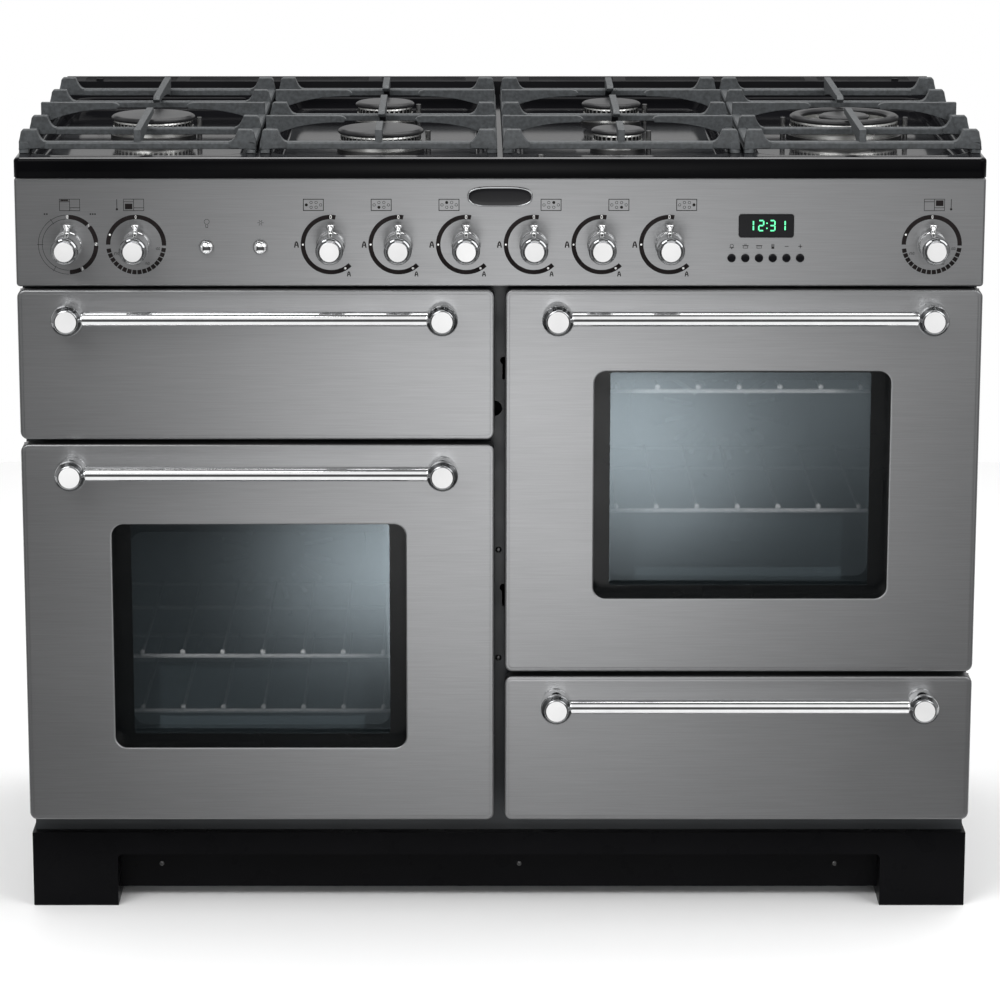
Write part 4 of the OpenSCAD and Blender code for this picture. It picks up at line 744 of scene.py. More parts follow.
class COOKER_OT_finishes(CookerPiece, bpy.types.Operator):
    """Make the materials and give the frame's own nodes theirs"""

    bl_idname = "cooker.finishes"
    bl_label = "Finishes"

    own = {
        "burner_bases_and_electrodes": "base_alloy",
        "rear_vent": "vent_enamel",
        "oven_back_fittings": "dull_fitting",
        "oven_furniture": "shelf_wire",
    }

    def make(self):
        tints = {name: tuple(getattr(self.colours, name)) for name in CookerColours.__annotations__}
        enamel, oven, glass = tints["enamel"], tints["oven"], tints["glass"]
        brushed_steel("brushed_steel", tints["steel"], (22, 1300, 1300))
        chrome("chrome", tints["chrome"])
        chrome("bright_wire", (0.72, 0.73, 0.74))
        # A darker copy of chrome for the shoulders of knobs and bosses and for the rim of the plate:
        # painted shade, standing in for the dark that polished chrome mirrors there.
        chrome("shadow_chrome", (0.26, 0.265, 0.27))
        gloss_enamel("gloss_enamel", enamel, 0.08, 0.06)
        # The same enamel made to mirror far more on the rounded top edge of the hob: a painted highlight
        # along the rim.
        gloss_enamel("enamel_edge", enamel, 0.08, 0.9)
        # The same enamel darker and duller on the hob's front lip: painted shade.
        gloss_enamel("lip_enamel", shade(enamel, 0.4), 0.08, 0.03)
        gloss_enamel("cap_enamel", (0.016, 0.016, 0.017), 0.3, 0.2)
        gloss_enamel("oven_enamel", oven, 0.25, speckle=4.0)
        gloss_enamel("clock_plastic", (0.006, 0.006, 0.007), 0.1, 0.1)
        paint("black_paint", tints["plinth"], 0.30, 0.04)
        paint("grey_paint", tints["frame"], 0.36, 0.3)
        # Black for the window surround: print where it lies on the inner pane, painted shade on its walls
        # between the panes.
        paint("glass_print", (0.0035, 0.0038, 0.004), 0.2, 0.15)
        # Pale matt paint for the flat faces of knobs and handle bosses: a painted reflection, standing in
        # for the white that their chrome faces mirror.
        paint("face_polish", (0.70, 0.70, 0.70), 0.3, 0.2)
        paint("black_screw", (0.006, 0.006, 0.006), 0.3)
        paint("vent_enamel", (0.008, 0.008, 0.009), 0.5, 0.04)
        # Near-white paint for the ends of the shelf wires: a painted glint of the plated wire.
        paint("wire_tip", (0.95, 0.95, 0.95), 0.2)
        paint("dull_fitting", shade(oven, 1.1), 0.5, 0.3)
        cast_iron("cast_iron", tints["iron"])
        plated("zinc_steel", tints["zinc"], cloud=0.05)
        plated("burner_alloy", tints["aluminium"], 0.34)
        plated("brass", tints["brass"], 0.3)
        plated("element_steel", (0.10, 0.10, 0.11), 0.5)
        plated("head_alloy", (0.80, 0.80, 0.78), 0.3)
        plated("base_alloy", (0.16, 0.16, 0.16), 0.4)
        rubber("seal_rubber", (0.02, 0.02, 0.02))
        rubber("roller_plastic", (0.03, 0.03, 0.03))
        rubber("switch_plastic", (0.62, 0.58, 0.48))
        rubber("printing", tints["print"], 0.04)
        rubber("white_print", (0.75, 0.75, 0.74), 0.1)
        # Near-black matt for the burners' gas slots: painted shade in their recesses.
        rubber("soot", (0.010, 0.010, 0.010), 0.1)
        oven_glass("oven_glass", glass, 0.04, 1.2, (1, 1, 1))
        oven_glass("coated_glass", glass, 0.62, 2.05, (0.78, 0.92, 1.0))
        # The shelves' wires: bright at their front, darker behind it as painted shade.
        shaded_oven_wire("shelf_wire", (0.86, 0.87, 0.88), corners("oven_furniture")[0][1] + 1 * MM)
        lit("lit_digits", tints["digits"], 0.9)
        slots = {part["node"]: part["material_slot"] for part in frame["record"]["subparts"]}
        for name, node in frame["nodes"].items():
            if slots.get(name) not in Finish.made:
                raise RuntimeError(f"no finish for {name}")
            for place in node.material_slots:
                place.material = Finish.made[self.own.get(name, slots[name])]


class COOKER_OT_fronts(CookerPiece, bpy.types.Operator):
    """Make the folded steel skins of the doors and the drawer"""

    bl_idname = "cooker.fronts"
    bl_label = "Fronts"

    notch_half = 2.1 * MM
    grill_notch = (30 * MM, 4.3 * MM)
    oven_notch = (90 * MM, 12 * MM)
    corner_steps = 10
    sides = ("right", "top", "left", "bottom")

    def make(self):
        for body, (node, _) in FRONTS.items():
            self.skin(node, body, body in WINDOWS, self.notches(body))

    def notches(self, body):
        """Where hinge arms pass a skin's edge: the side, the place along it and the depth left."""
        low, high = corners(FRONTS[body][0])
        joints = [joint for joint in frame["joints"] if joint["child"] == body]
        if joints[0]["type"] != "hinge":
            return []
        x, y, _ = joints[0]["pos_m"]
        half = (high - low) / 2
        if body == "grill_door":
            side, reach, (inset, before) = "bottom", half[0], self.grill_notch
        else:
            side, reach, (inset, before) = "left" if x < 0 else "right", half[2], self.oven_notch
        return [(side, s * (reach - inset), y - before) for s in (-1, 1)]

    def outline(self, width, height, radius, notches):
        """A rounded rectangle, each side's notches before the corner that ends it, with two pairs
        of points at each notch. Returns the points and each point's depth limit or None."""
        half_w, half_h = width / 2, height / 2
        quarter = np.linspace(0, np.pi / 2, self.corner_steps + 1)
        rows, limits = [], []
        ends = ((1, 1), (-1, 1), (-1, -1), (1, -1))
        for index, (side, (sx, sz)) in enumerate(zip(self.sides, ends)):
            way = 1 if side in ("right", "bottom") else -1
            upright = side in ("right", "left")
            for place, depth in sorted(notch[1:] for notch in notches if notch[0] == side)[::way]:
                for shift, limit in ((-1, None), (-1, depth), (1, depth), (1, None)):
                    spot = place + shift * way * self.notch_half
                    rows.append([(sx * half_w, spot) if upright else (spot, sz * half_h)])
                    limits.append([limit])
            angle = quarter + index * np.pi / 2
            corner = np.array([sx * (half_w - radius), sz * (half_h - radius)])
            rows.append(corner + radius * on_circle(angle))
            limits.append([None] * len(angle))
        points = np.concatenate([np.asarray(row, float) for row in rows])
        return points, [limit for group in limits for limit in group]

    def skin(self, node, body, window, notches):
        """Loops of the outline from the inner edge of the return, forward round the outer edge and
        over the face to the window or the middle, then back inside the sheet."""
        sizes = self.sizes
        low, high = corners(node)
        front, back = low[1], high[1]
        width, _, height = high - low
        x, _, z = middle(node)
        sheet, edge, radius, border = sizes.sheet, sizes.edge, sizes.corner, sizes.border
        _, limits = self.outline(width, height, radius, notches)
        limit = np.array([back if value is None else value for value in limits])

        def loop(inset, y):
            rounding = max(radius - inset, 0.4 * MM)
            flat, _ = self.outline(width - 2 * inset, height - 2 * inset, rounding, notches)
            return stand(flat, y)

        bend = np.linspace(0, np.pi / 2, 9)
        low_front = front + sizes.border_low
        rows = [(0.0, back), (0.0, low_front + edge + 0.3 * MM)]
        rows += [(edge * (1 - math.cos(a)), low_front + edge * (1 - math.sin(a))) for a in bend]
        rows += [(edge + 0.4 * MM, low_front), (border - 0.4 * MM, low_front), (border, low_front)]
        rows += [(border + 1.0 * MM, front), (border + 1.4 * MM, front), (border + 2.0 * MM, front)]
        outer = [loop(inset, np.minimum(y, limit)) for inset, y in rows]
        inner = [loop(sheet, front + sheet), loop(sheet, np.minimum(back, limit))]
        if window:
            flat = self.window_loop(notches, node)
            eased = ((1.6 * MM, 0), (0.6 * MM, 0), (0, 0.5 * MM), (0, sheet))
            cut = [stand(flat(grow), front + deep) for grow, deep in eased]
            surface = Surface().grid(np.stack(outer + cut + inner) + [x, 0, z], along=True)
        else:
            lead, tail = (np.zeros_like(outer[0]) + [0, y, 0] for y in (front, front + sheet))
            grid = np.stack([lead] + outer[::-1] + inner[::-1] + [tail])
            surface = Surface().grid(grid + [x, 0, z])
        name = node.replace("_panel", "_skin").replace("drawer_front", "drawer_skin")
        surface.piece(name, body, ["brushed_steel"], "brushed_steel", [node], sharp=40)

    def window_loop(self, notches, node):
        """The window's outline with as many points on each side as the door's."""
        sizes = self.sizes
        drop = middle(node.replace("_panel", "_glass"))[2] - middle(node)[2]
        counts = [4 * sum(name == side for name, _, _ in notches) for side in self.sides]

        def loop(grow):
            width, height = sizes.window_w + 2 * grow, sizes.window_h + 2 * grow
            dense = rounded_loop(width, height, sizes.window_r + grow, self.corner_steps)
            return self.spread(dense, counts) + [0, drop]

        return loop

    def spread(self, loop, counts):
        """Adds points to a loop's straight sides: before each corner group, its count of points is
        set evenly between the end of the last group and the start of this one."""
        corner = len(loop) // 4
        rows = []
        for i, count in enumerate(counts):
            group, before = loop[i * corner : (i + 1) * corner], loop[i * corner - 1]
            t = (np.arange(count) + 1)[:, None] / (count + 1)
            rows += [before + t * (group[0] - before), group]
        return np.concatenate(rows)


class COOKER_OT_windows(CookerPiece, bpy.types.Operator):
    """Line the space between the panes of the oven doors"""

    bl_idname = "cooker.windows"
    bl_label = "Windows"

    pane = 4 * MM
    lap = 4 * MM
    eased = ((0.5, 0), (0.1, 0.1), (0, 0.5), (0, 3.5), (0.1, 3.9), (0.5, 4))

    def make(self):
        for body, (glass, side) in WINDOWS.items():
            self.mask(body, glass, side)
            self.panes(body, glass, side)

    def panes(self, body, glass, side):
        """The clear outer pane and the coated inner pane: rounded plates with eased edges."""
        low, high = corners(glass)
        x, _, z = middle(glass)
        sizes, lap = self.sizes, self.lap
        plates = [
            (high[0] - low[0], high[2] - low[2], low[1]),
            (sizes.view_w + 2 * lap, sizes.view_h + 2 * lap, high[1] - self.pane),
        ]
        surface = Surface()
        for mark, (wide, tall, front) in enumerate(plates):
            loops = [
                stand(rounded_loop(wide - 2 * inset, tall - 2 * inset, sizes.window_r), front + deep)
                for inset, deep in np.array(self.eased) * MM
            ]
            surface.closed(np.stack(loops) + [x, 0, z], mark)
        finishes = ["oven_glass", "coated_glass"]
        surface.piece(f"{side}_window_panes", body, finishes, "oven_glass", [glass], sharp=50)

    def mask(self, body, glass, side):
        """A black surround as a closed ring: in along the outer pane, back to the inner pane and in to its
        clear part, then the same way back 0.5 mm further out. Where it lies on the inner pane it is the
        pane's printed border; its walls between the panes are painted shade."""
        sizes, wall, play = self.sizes, 0.5 * MM, 0.1 * MM
        low, high = corners(glass)
        x, _, z = middle(glass)
        front, back = low[1] + self.pane + play, high[1] - self.pane - play
        wide, tall = sizes.window_w + 4 * MM, sizes.window_h + 4 * MM
        window = (wide, tall, sizes.window_r)
        view = (sizes.view_w, sizes.view_h, sizes.view_r)
        further = (wide + 2 * wall, tall + 2 * wall, sizes.window_r)
        rows = [(window, front), (window, back - wall), (view, back - wall), (view, back),
                (further, back), (further, front)]
        loops = [stand(rounded_loop(*size), y) for size, y in rows]
        surface = Surface().grid(np.stack(loops) + [x, 0, z], along=True)
        surface.piece(f"{side}_window_surround", body, ["glass_print"], "oven_glass")


def face_marks(grid, face):
    """Numbers of FACE_FINISHES for a turned body's rows: 1 for its flat face, a pale paint that is a
    painted reflection of the white the polished face would mirror, 2 for the shoulder behind it, darker
    chrome that is painted shade, and 0 for the rest, by each row's height and radius."""
    radius, high = np.hypot(grid[:, 0, 0], grid[:, 0, 1]), grid[:, 0, 2]
    far = (high[1:] + high[:-1]) / 2 > high.max() - 7 * MM
    flat = (radius[1:] + radius[:-1]) / 2 < face - 0.5 * MM
    return np.where(far & flat, 1, np.where(far, 2, 0))[:, None]


class COOKER_OT_handles(CookerPiece, bpy.types.Operator):
    """Make the bar handles with their turned end bosses"""

    bl_idname = "cooker.handles"
    bl_label = "Handles"

    def make(self):
        for body, (_, node) in FRONTS.items():
            self.handle(body, node)

    def handle(self, body, node):
        """Two turned bosses joined by a round bar, its ends inside the bosses."""
        sizes = self.sizes
        low, high = corners(node)
        r, deep, face = sizes.boss / 2 / MM, (high[1] - low[1]) / MM, sizes.boss_face / 2 / MM
        level = (low[2] + high[2]) / 2
        profile = rounded_profile(
            [(0, 0), (r - 2.6, 0), (r - 2.6, 4.6), (r - 4.6, 7.5), (r - 4.6, 14), (r - 0.6, 18), (r, 21),
             (r, deep - 9.5), (r - 1.3, deep - 6.4), (face + 2.6, deep - 3.2), (face + 1.5, deep - 0.8),
             (face - 0.5, deep), (0, deep)],
            [0.6, 1, 3, 3, 2, 2, 3, 2, 1.5, 1.2, 0.8], 6,
        )
        boss = turned(profile, 80)
        surface = Surface()
        ends = [low[0] + r * MM, high[0] - r * MM]
        for x in ends:
            surface.grid(facing_front(boss, (x, level), high[1]), mark=face_marks(boss, face * MM))
        path = [np.linspace(*ends, 9), np.full(9, high[1] - sizes.bar_out), np.full(9, level)]
        surface.closed(tube(np.stack(path, -1), sizes.bar / 2, 40))
        name = node.replace("_handle", "_bar_handle")
        surface.piece(name, body, FACE_FINISHES, "chrome", [node])


class COOKER_OT_knobs(CookerPiece, bpy.types.Operator):
    """Make the control knobs, each with its pointer peg"""

    bl_idname = "cooker.knobs"
    bl_label = "Knobs"

    def make(self):
        for node in KNOBS:
            self.knob(node)

    def knob(self, node):
        """A turned body with a waist and a stepped shoulder, and a flared round peg."""
        low, high = corners(node)
        axis = front_axis(node)
        face = self.sizes.knob_face / 2 / MM
        r, l, reach = (high[0] - low[0]) / 2 / MM, (high[1] - low[1]) / MM, (high[2] - axis[1]) / MM
        profile = rounded_profile(
            [(0, 0), (r - 0.6, 0), (r, 0.9), (r, 6), (r - 2.2, 8.4), (r - 2.6, 12), (r - 1.2, 15),
             (r - 1.2, l - 14), (r - 0.4, l - 8), (r - 1.6, l - 4.6), (face + 1.4, l - 3.2),
             (face + 0.9, l - 1.4), (face, l), (0, l)],
            [0.5, 0.6, 1.5, 1.5, 2, 2, 2, 3, 0.5, 0.5, 1, 0.7], 6,
        )
        body = turned(profile, 72)
        surface = Surface().grid(facing_front(body, axis, high[1]), mark=face_marks(body, face * MM))
        stem, tip = 3.4, 5.3
        peg = rounded_profile(
            [(stem, r - 5), (stem, reach - 6), (tip - 0.4, reach - 3.6), (tip, reach - 1.2),
             (tip - 0.8, reach), (0, reach)],
            [2, 1.5, 0.8, 0.8], 5,
        )
        grid = turned(peg, 40) + [axis[0], high[1] - 10 * MM, axis[1]]
        surface.grid(grid).plate(grid[0])
        surface.piece(node + "_turned", node, FACE_FINISHES, "chrome", [node])


class COOKER_OT_buttons(CookerPiece, bpy.types.Operator):
    """Make the two push buttons and the six clock keys"""

    bl_idname = "cooker.buttons"
    bl_label = "Buttons"

    def make(self):
        for node in BUTTONS:
            self.button(node, 5.5 * MM, "chrome")
        for node in KEYS:
            self.button(node, 0.9 * MM, "clock_plastic")

    def button(self, node, dome, slot):
        """A round stem with a domed end: height = dome * sqrt(1 - (r/R)^2)."""
        low, high = corners(node)
        r, l = (high[0] - low[0]) / 2, high[1] - low[1]
        angle = np.linspace(0, np.pi / 2, 12)
        cap = [0, l - dome] + [r, dome] * on_circle(angle)
        profile = np.concatenate([[(0, 0), (r, 0), (r, l - dome - 0.2 * MM)], cap])
        surface = Surface().grid(facing_front(turned(profile, 48), middle(node)[::2], high[1]))
        surface.piece(node + "_domed", node, [slot], slot, [node], sharp=50)


class Marks:
    """Flat marks printed on an upright plane: each is a thin closed slab. Their places and sizes
    are in millimetres, the plane and the thickness in metres."""

    lit = ("abcdef", "bc", "abged", "abgcd", "fgbc", "afgcd", "afgedc", "abc", "abcdefg", "abcdfg")
    segments = {
        "a": ((-1, 1), (1, 1)), "b": ((1, 1), (1, 0)), "c": ((1, 0), (1, -1)), "d": ((-1, -1), (1, -1)),
        "e": ((-1, 0), (-1, -1)), "f": ((-1, 1), (-1, 0)), "g": ((-1, 0), (1, 0)),
    }

    def __init__(self, thickness, plane):
        self.surface, self.front, self.back = Surface(), plane - thickness, plane

    def band(self, inner, outer):
        """Four rows round the section of a band between two lines of as many points."""
        rows = ((inner, self.front), (outer, self.front), (outer, self.back), (inner, self.back))
        return np.stack([stand(flat * MM, y) for flat, y in rows])

    def slab(self, inner, outer, at):
        """The band between two loops of as many points, or a full patch if inner is None."""
        outer = np.asarray(outer) + at
        if inner is None:
            self.surface.closed(np.stack([stand(outer * MM, y) for y in (self.front, self.back)]))
        else:
            self.surface.grid(self.band(inner + at, outer), along=True)

    def sector(self, r0, r1, start, end, at):
        """A ring sector between two radii, angles in degrees clockwise from the top."""
        a = np.radians(np.linspace(start, end, max(3, int(abs(end - start) / 4) + 1)))
        arc = np.stack([np.sin(a), np.cos(a)], -1)
        grid = self.band(r0 * arc + at, r1 * arc + at).transpose(1, 0, 2)
        self.surface.grid(grid).plate(grid[0]).plate(grid[-1])

    def bar(self, start, end, width, at=(0, 0)):
        """A straight line of a width between two points."""
        start, end = np.asarray(start, float), np.asarray(end, float)
        way = (end - start) / np.linalg.norm(end - start)
        side = np.array([-way[1], way[0]]) * width / 2
        self.slab(None, [start - side, end - side, end + side, start + side], at)

    def dot(self, radius, at, steps=20):
        self.slab(None, circle_loop(radius, steps), at)

    def ring(self, radius, width, at, steps=28):
        self.slab(circle_loop(radius - width, steps), circle_loop(radius, steps), at)

    def frame(self, width, height, line, at):
        """The outline of a rectangle."""
        inner = rounded_loop(width - 2 * line, height - 2 * line, 0.05, 1)
        self.slab(inner, rounded_loop(width, height, 0.1, 1), at)

    def patch(self, width, height, at):
        self.slab(None, rounded_loop(width, height, 0.05, 1), at)

    def digit(self, number, height, line, at):
        """A seven-segment digit: a bar for each lit segment, shortened at both ends."""
        half = np.array([0.24, 0.5]) * height
        for segment in self.lit[number]:
            start, end = np.array(self.segments[segment]) * half
            short = (end - start) / np.linalg.norm(end - start) * line * 0.35
            self.bar(start + short, end - short, line, at)

    def piece(self, name, finish, slot):
        self.surface.piece(name, ROOT, [finish], slot, sharp=30)


class COOKER_OT_prints(CookerPiece, bpy.types.Operator):
    """Print the dial rings, marks and small pictures on the fascia"""

    bl_idname = "cooker.prints"
    bl_label = "Prints"

    line = 0.8
    icon = np.array([23.5, 13.7])
    icon_rise = 45.5
    icon_shift = 19.4
    button_rise = np.array([0.5, 28])
    key_rise = np.array([0, 13.5])
    hob_places = ((-0.34, 0), (-0.11, -0.2), (-0.11, 0.2), (0.13, 0.2), (0.13, -0.2), (0.35, 0))
    oven_lines = (((0, -0.5), (0, 0.5)), ((-0.5, 0.26), (0, 0.26)), ((0, -0.24), (0.5, -0.24)))
    oven_parts = {
        "grill": ((0.38, 0.12), (-0.25, 0.38)),
        "left": ((0.36, 0.46), (-0.24, -0.13)),
        "right": ((0.36, 0.46), (0.25, 0.14)),
    }

    def make(self):
        sizes = self.sizes
        self.dark = Marks(sizes.print_t, FASCIA_Y + 0.02 * MM)
        self.light = Marks(sizes.print_t, FASCIA_Y - sizes.print_t + 0.03 * MM)
        self.r0, self.r1 = sizes.ring_inner / MM, sizes.ring_outer / MM
        self.ring_middle = (self.r0 + self.r1) / 2
        for index, node in enumerate(HOB_KNOBS):
            self.hob_dial(front_axis(node) / MM, index)
        for node, side in zip(OVEN_KNOBS, (-1, 1)):
            self.oven_dial(front_axis(node) / MM, side)
        self.grill_dial(front_axis("knob_grill") / MM)
        for node, picture in zip(BUTTONS, (self.bulb, self.spark)):
            picture(middle(node)[::2] / MM + self.button_rise)
        for index, node in enumerate(KEYS):
            self.key_mark(middle(node)[::2] / MM + self.key_rise, index)
        self.dark.piece("dial_prints", "printing", "clock_plastic")
        self.light.piece("dial_numbers", "white_print", "switch_plastic")

    def on_ring(self, centre, degrees, radius):
        turn = math.radians(degrees)
        return centre + radius * np.array([math.sin(turn), math.cos(turn)])

    def hob_dial(self, centre, index):
        """A band from just right of the top, over 9 o'clock, to the lower right."""
        self.dark.sector(self.r0, self.r1, -223, 10, centre)
        self.light.digit(0, 3.6, 0.6, self.on_ring(centre, 0, self.ring_middle))
        self.light.dot(1.1, self.on_ring(centre, 270, self.ring_middle))
        self.light.dot(1.3, self.on_ring(centre, 149, self.ring_middle))
        self.flame(self.on_ring(centre, 270, self.r1 + 4.8), 7.0)
        self.flame(self.on_ring(centre, 149, self.r1 + 5.2), 5.6)
        side = -1 if index < 3 else 1
        self.hob_icon(centre + [side * self.icon_shift, self.icon_rise], index)

    def flame(self, at, size):
        """A flame: two curved legs that meet in a point, as bars between points on a parabola."""
        rise = np.linspace(-0.5, 0.5, 6)
        spread = 0.30 * np.sqrt(0.5 - rise)
        for way in (-1, 1):
            leg = np.stack([way * spread, rise], -1) * size
            for start, end in zip(leg, leg[1:]):
                self.dark.bar(start, end, size * 0.2, at)
        self.dark.bar((-0.14 * size, -0.1 * size), (0.14 * size, -0.1 * size), size * 0.16, at)

    def hob_icon(self, at, index):
        """A small plan of the hob with its six places, one of them filled."""
        self.dark.frame(*self.icon, self.line, at)
        for number, place in enumerate(self.hob_places):
            spot = at + place * self.icon
            if number == index:
                self.dark.dot(1.7, spot)
            else:
                self.dark.ring(1.7, 0.6 * self.line, spot, 16)

    def oven_dial(self, centre, side):
        """A solid band over the top half and sixteen blocks round the bottom."""
        self.dark.sector(self.r0, self.r1, -90, 92, centre)
        first, pitch, block = 97, 10.4, 8.6
        for i in range(16):
            start = first + pitch * i
            self.dark.sector(self.r0, self.r1, start, start + block, centre)
        self.light.digit(0, 3.0, 0.55, self.on_ring(centre, 0, self.ring_middle))
        self.light.dot(1.2, self.on_ring(centre, 291, self.ring_middle))
        for degrees, digits in ((101, (1, 0, 0)), (151, (1, 5, 0)), (246, (2, 5, 0))):
            spot = self.on_ring(centre, degrees, self.r0 - 4.6)
            for place, digit in enumerate(digits):
                self.dark.digit(digit, 2.6, 0.42, spot + [(place - 1) * 2.1, 0])
        spot = centre + [side * 2.0, self.icon_rise]
        self.oven_icon(spot, "left" if side < 0 else "right")
        stem = spot + [side * 19, 0]
        self.dark.bar((0, -4), (0, 6.5), 0.7, stem)
        self.dark.dot(1.3, stem + [0, -5])

    def oven_icon(self, at, part):
        """A front view of the cooker with the part that the knob works filled."""
        line = self.line * 0.7
        self.dark.frame(*self.icon, line, at)
        for start, end in self.oven_lines:
            self.dark.bar(start * self.icon, end * self.icon, line, at)
        size, place = self.oven_parts[part]
        self.dark.patch(*(size * self.icon), at + place * self.icon)

    def grill_dial(self, centre):
        """Four solid sectors on the right half, an open band with three bars on the left half."""
        for start, end in ((2, 44), (50, 86), (92, 148), (154, 178)):
            self.dark.sector(self.r0, self.r1, start, end, centre)
        line = 0.45
        self.dark.sector(self.r1 - line, self.r1, 180, 358, centre)
        self.dark.sector(self.r0, self.r0 + line, 180, 358, centre)
        for degrees in (210, 270, 326):
            ends = [self.on_ring(centre, degrees, radius) for radius in (self.r0 - 1, self.r1 + 1)]
            self.dark.bar(*ends, line)
        for number, degrees in ((0, -1), (1, 46), (2, 89), (3, 151)):
            self.light.digit(number, 3.0, 0.55, self.on_ring(centre, degrees, self.ring_middle))
        spot = centre + [2.5, self.icon_rise]
        self.oven_icon(spot, "grill")
        for side, count in ((-1, 2), (1, 3)):
            for i in range(count):
                self.dark.patch(1.7, 1.5, spot + [side * 26 + (i - 1) * 2.6, -10.5])

    def bulb(self, at):
        """A lamp bulb in outline above the light button."""
        self.dark.ring(3.1, 0.45, at + [0, 1.2])
        for x in (-1.2, 1.2):
            self.dark.bar((x, -2), (x, -5), 0.45, at)
        self.dark.bar((-1.4, -5.2), (1.4, -5.2), 0.6, at)

    def spark(self, at):
        """A six-rayed spark above the ignition button."""
        self.dark.ring(1.5, 0.4, at)
        for i in range(6):
            ray = self.on_ring(np.zeros(2), 90 - 60 * i, 1)
            self.dark.bar(ray * 2.0, ray * 3.4, 0.6, at)

    def key_mark(self, at, index):
        """The little pictures above the keys: bell, two pots, bolt, minus and plus."""
        dark = self.dark
        if index == 0:
            dark.ring(2.1, 0.5, at + [0, 0.6])
            dark.bar((-2.6, -1.6), (2.6, -1.6), 0.6, at)
            dark.dot(0.6, at + [0, -2.7])
        if index in (1, 2):
            dark.frame(5.6, 3.0, 0.5, at - [0, 0.8])
            dark.bar((-3.6, 0.9), (3.6, 0.9), 0.5, at)
        if index == 1:
            for x in (-1.2, 0, 1.2):
                dark.bar((x, 1.7), (x, 3.0), 0.4, at)
        if index == 3:
            for x, low in ((-1.2, -1), (0, -0.4), (1.2, -1)):
                dark.bar((x, low), (x, 2.6), 0.7, at)
            dark.patch(3.2, 2.2, at - [0, 1.6])
        if index >= 4:
            dark.bar((-2.2, 0), (2.2, 0), 0.7, at)
        if index == 5:
            dark.bar((0, -2.2), (0, 2.2), 0.7, at)


class COOKER_OT_clock(CookerPiece, bpy.types.Operator):
    """Light the clock's digits and fit the rim of its window"""

    bl_idname = "cooker.clock"
    bl_label = "Clock"

    window_top = 5
    window_h = 27
    digits_from = -17.5
    digit_pitch = 11.6

    def make(self):
        """Four digits with a colon, standing just in front of the window."""
        low, high = corners("clock_display")
        top = np.array([(low[0] + high[0]) / 2, high[2]]) / MM
        centre = top - [0, self.window_top + self.window_h / 2]
        digits = Marks(0.15 * MM, low[1] + 0.02 * MM)
        for place, number in zip((0, 1, 2.1, 3.1), (1, 2, 3, 1)):
            digits.digit(number, 11.5, 1.5, centre + [self.digits_from + place * self.digit_pitch, 0.5])
        for rise in (-2.6, 3.2):
            digits.dot(0.85, centre + [self.digits_from + 1.56 * self.digit_pitch, rise], 12)
        digits.piece("clock_digits", "lit_digits", "clock_plastic")
        rim = Marks(0.5 * MM, low[1] + 0.02 * MM)
        rim.slab(rounded_loop(61.4, 25.4, 2.6), rounded_loop(62.6, 26.6, 3.2), centre)
        rim.piece("clock_window_rim", "clock_plastic", "clock_plastic")


class COOKER_OT_badge(CookerPiece, bpy.types.Operator):
    """Fit the bare barrel-shaped plate above the knobs"""

    bl_idname = "cooker.badge"
    bl_label = "Plate"

    up = 850 * MM

    def make(self):
        """Loops of a superellipse |x/a|^4 + |z/b|^2.4 = 1: a silver rim, in darker chrome as painted shade,
        round a sunk black face.
        """
        sizes = self.sizes
        angle = np.linspace(0, 2 * np.pi, 96, endpoint=False)
        c, s = np.cos(angle), np.sin(angle)
        shape = np.stack([np.sign(c) * abs(c) ** 0.5, np.sign(s) * abs(s) ** 0.8], -1)
        half = np.array([sizes.badge_w, sizes.badge_h]) / 2
        rim = ((0, 0), (0, 1.6), (0.5, 2.2), (1.2, 2.2), (1.7, 1.7))
        face = ((1.7, 1.7), (3.0, 1.9), (6.0, 2.0))
        surface = Surface()
        for mark, rows in enumerate((rim, face)):
            loops = [stand(shape * (half - inset) + [0, self.up], FASCIA_Y - out)
                     for inset, out in np.array(rows) * MM]
            surface.grid(np.stack(loops), mark=mark)
            surface.plate(loops[-mark], mark)
        surface.piece("bare_plate", ROOT, ["shadow_chrome", "clock_plastic"], "chrome", sharp=50)


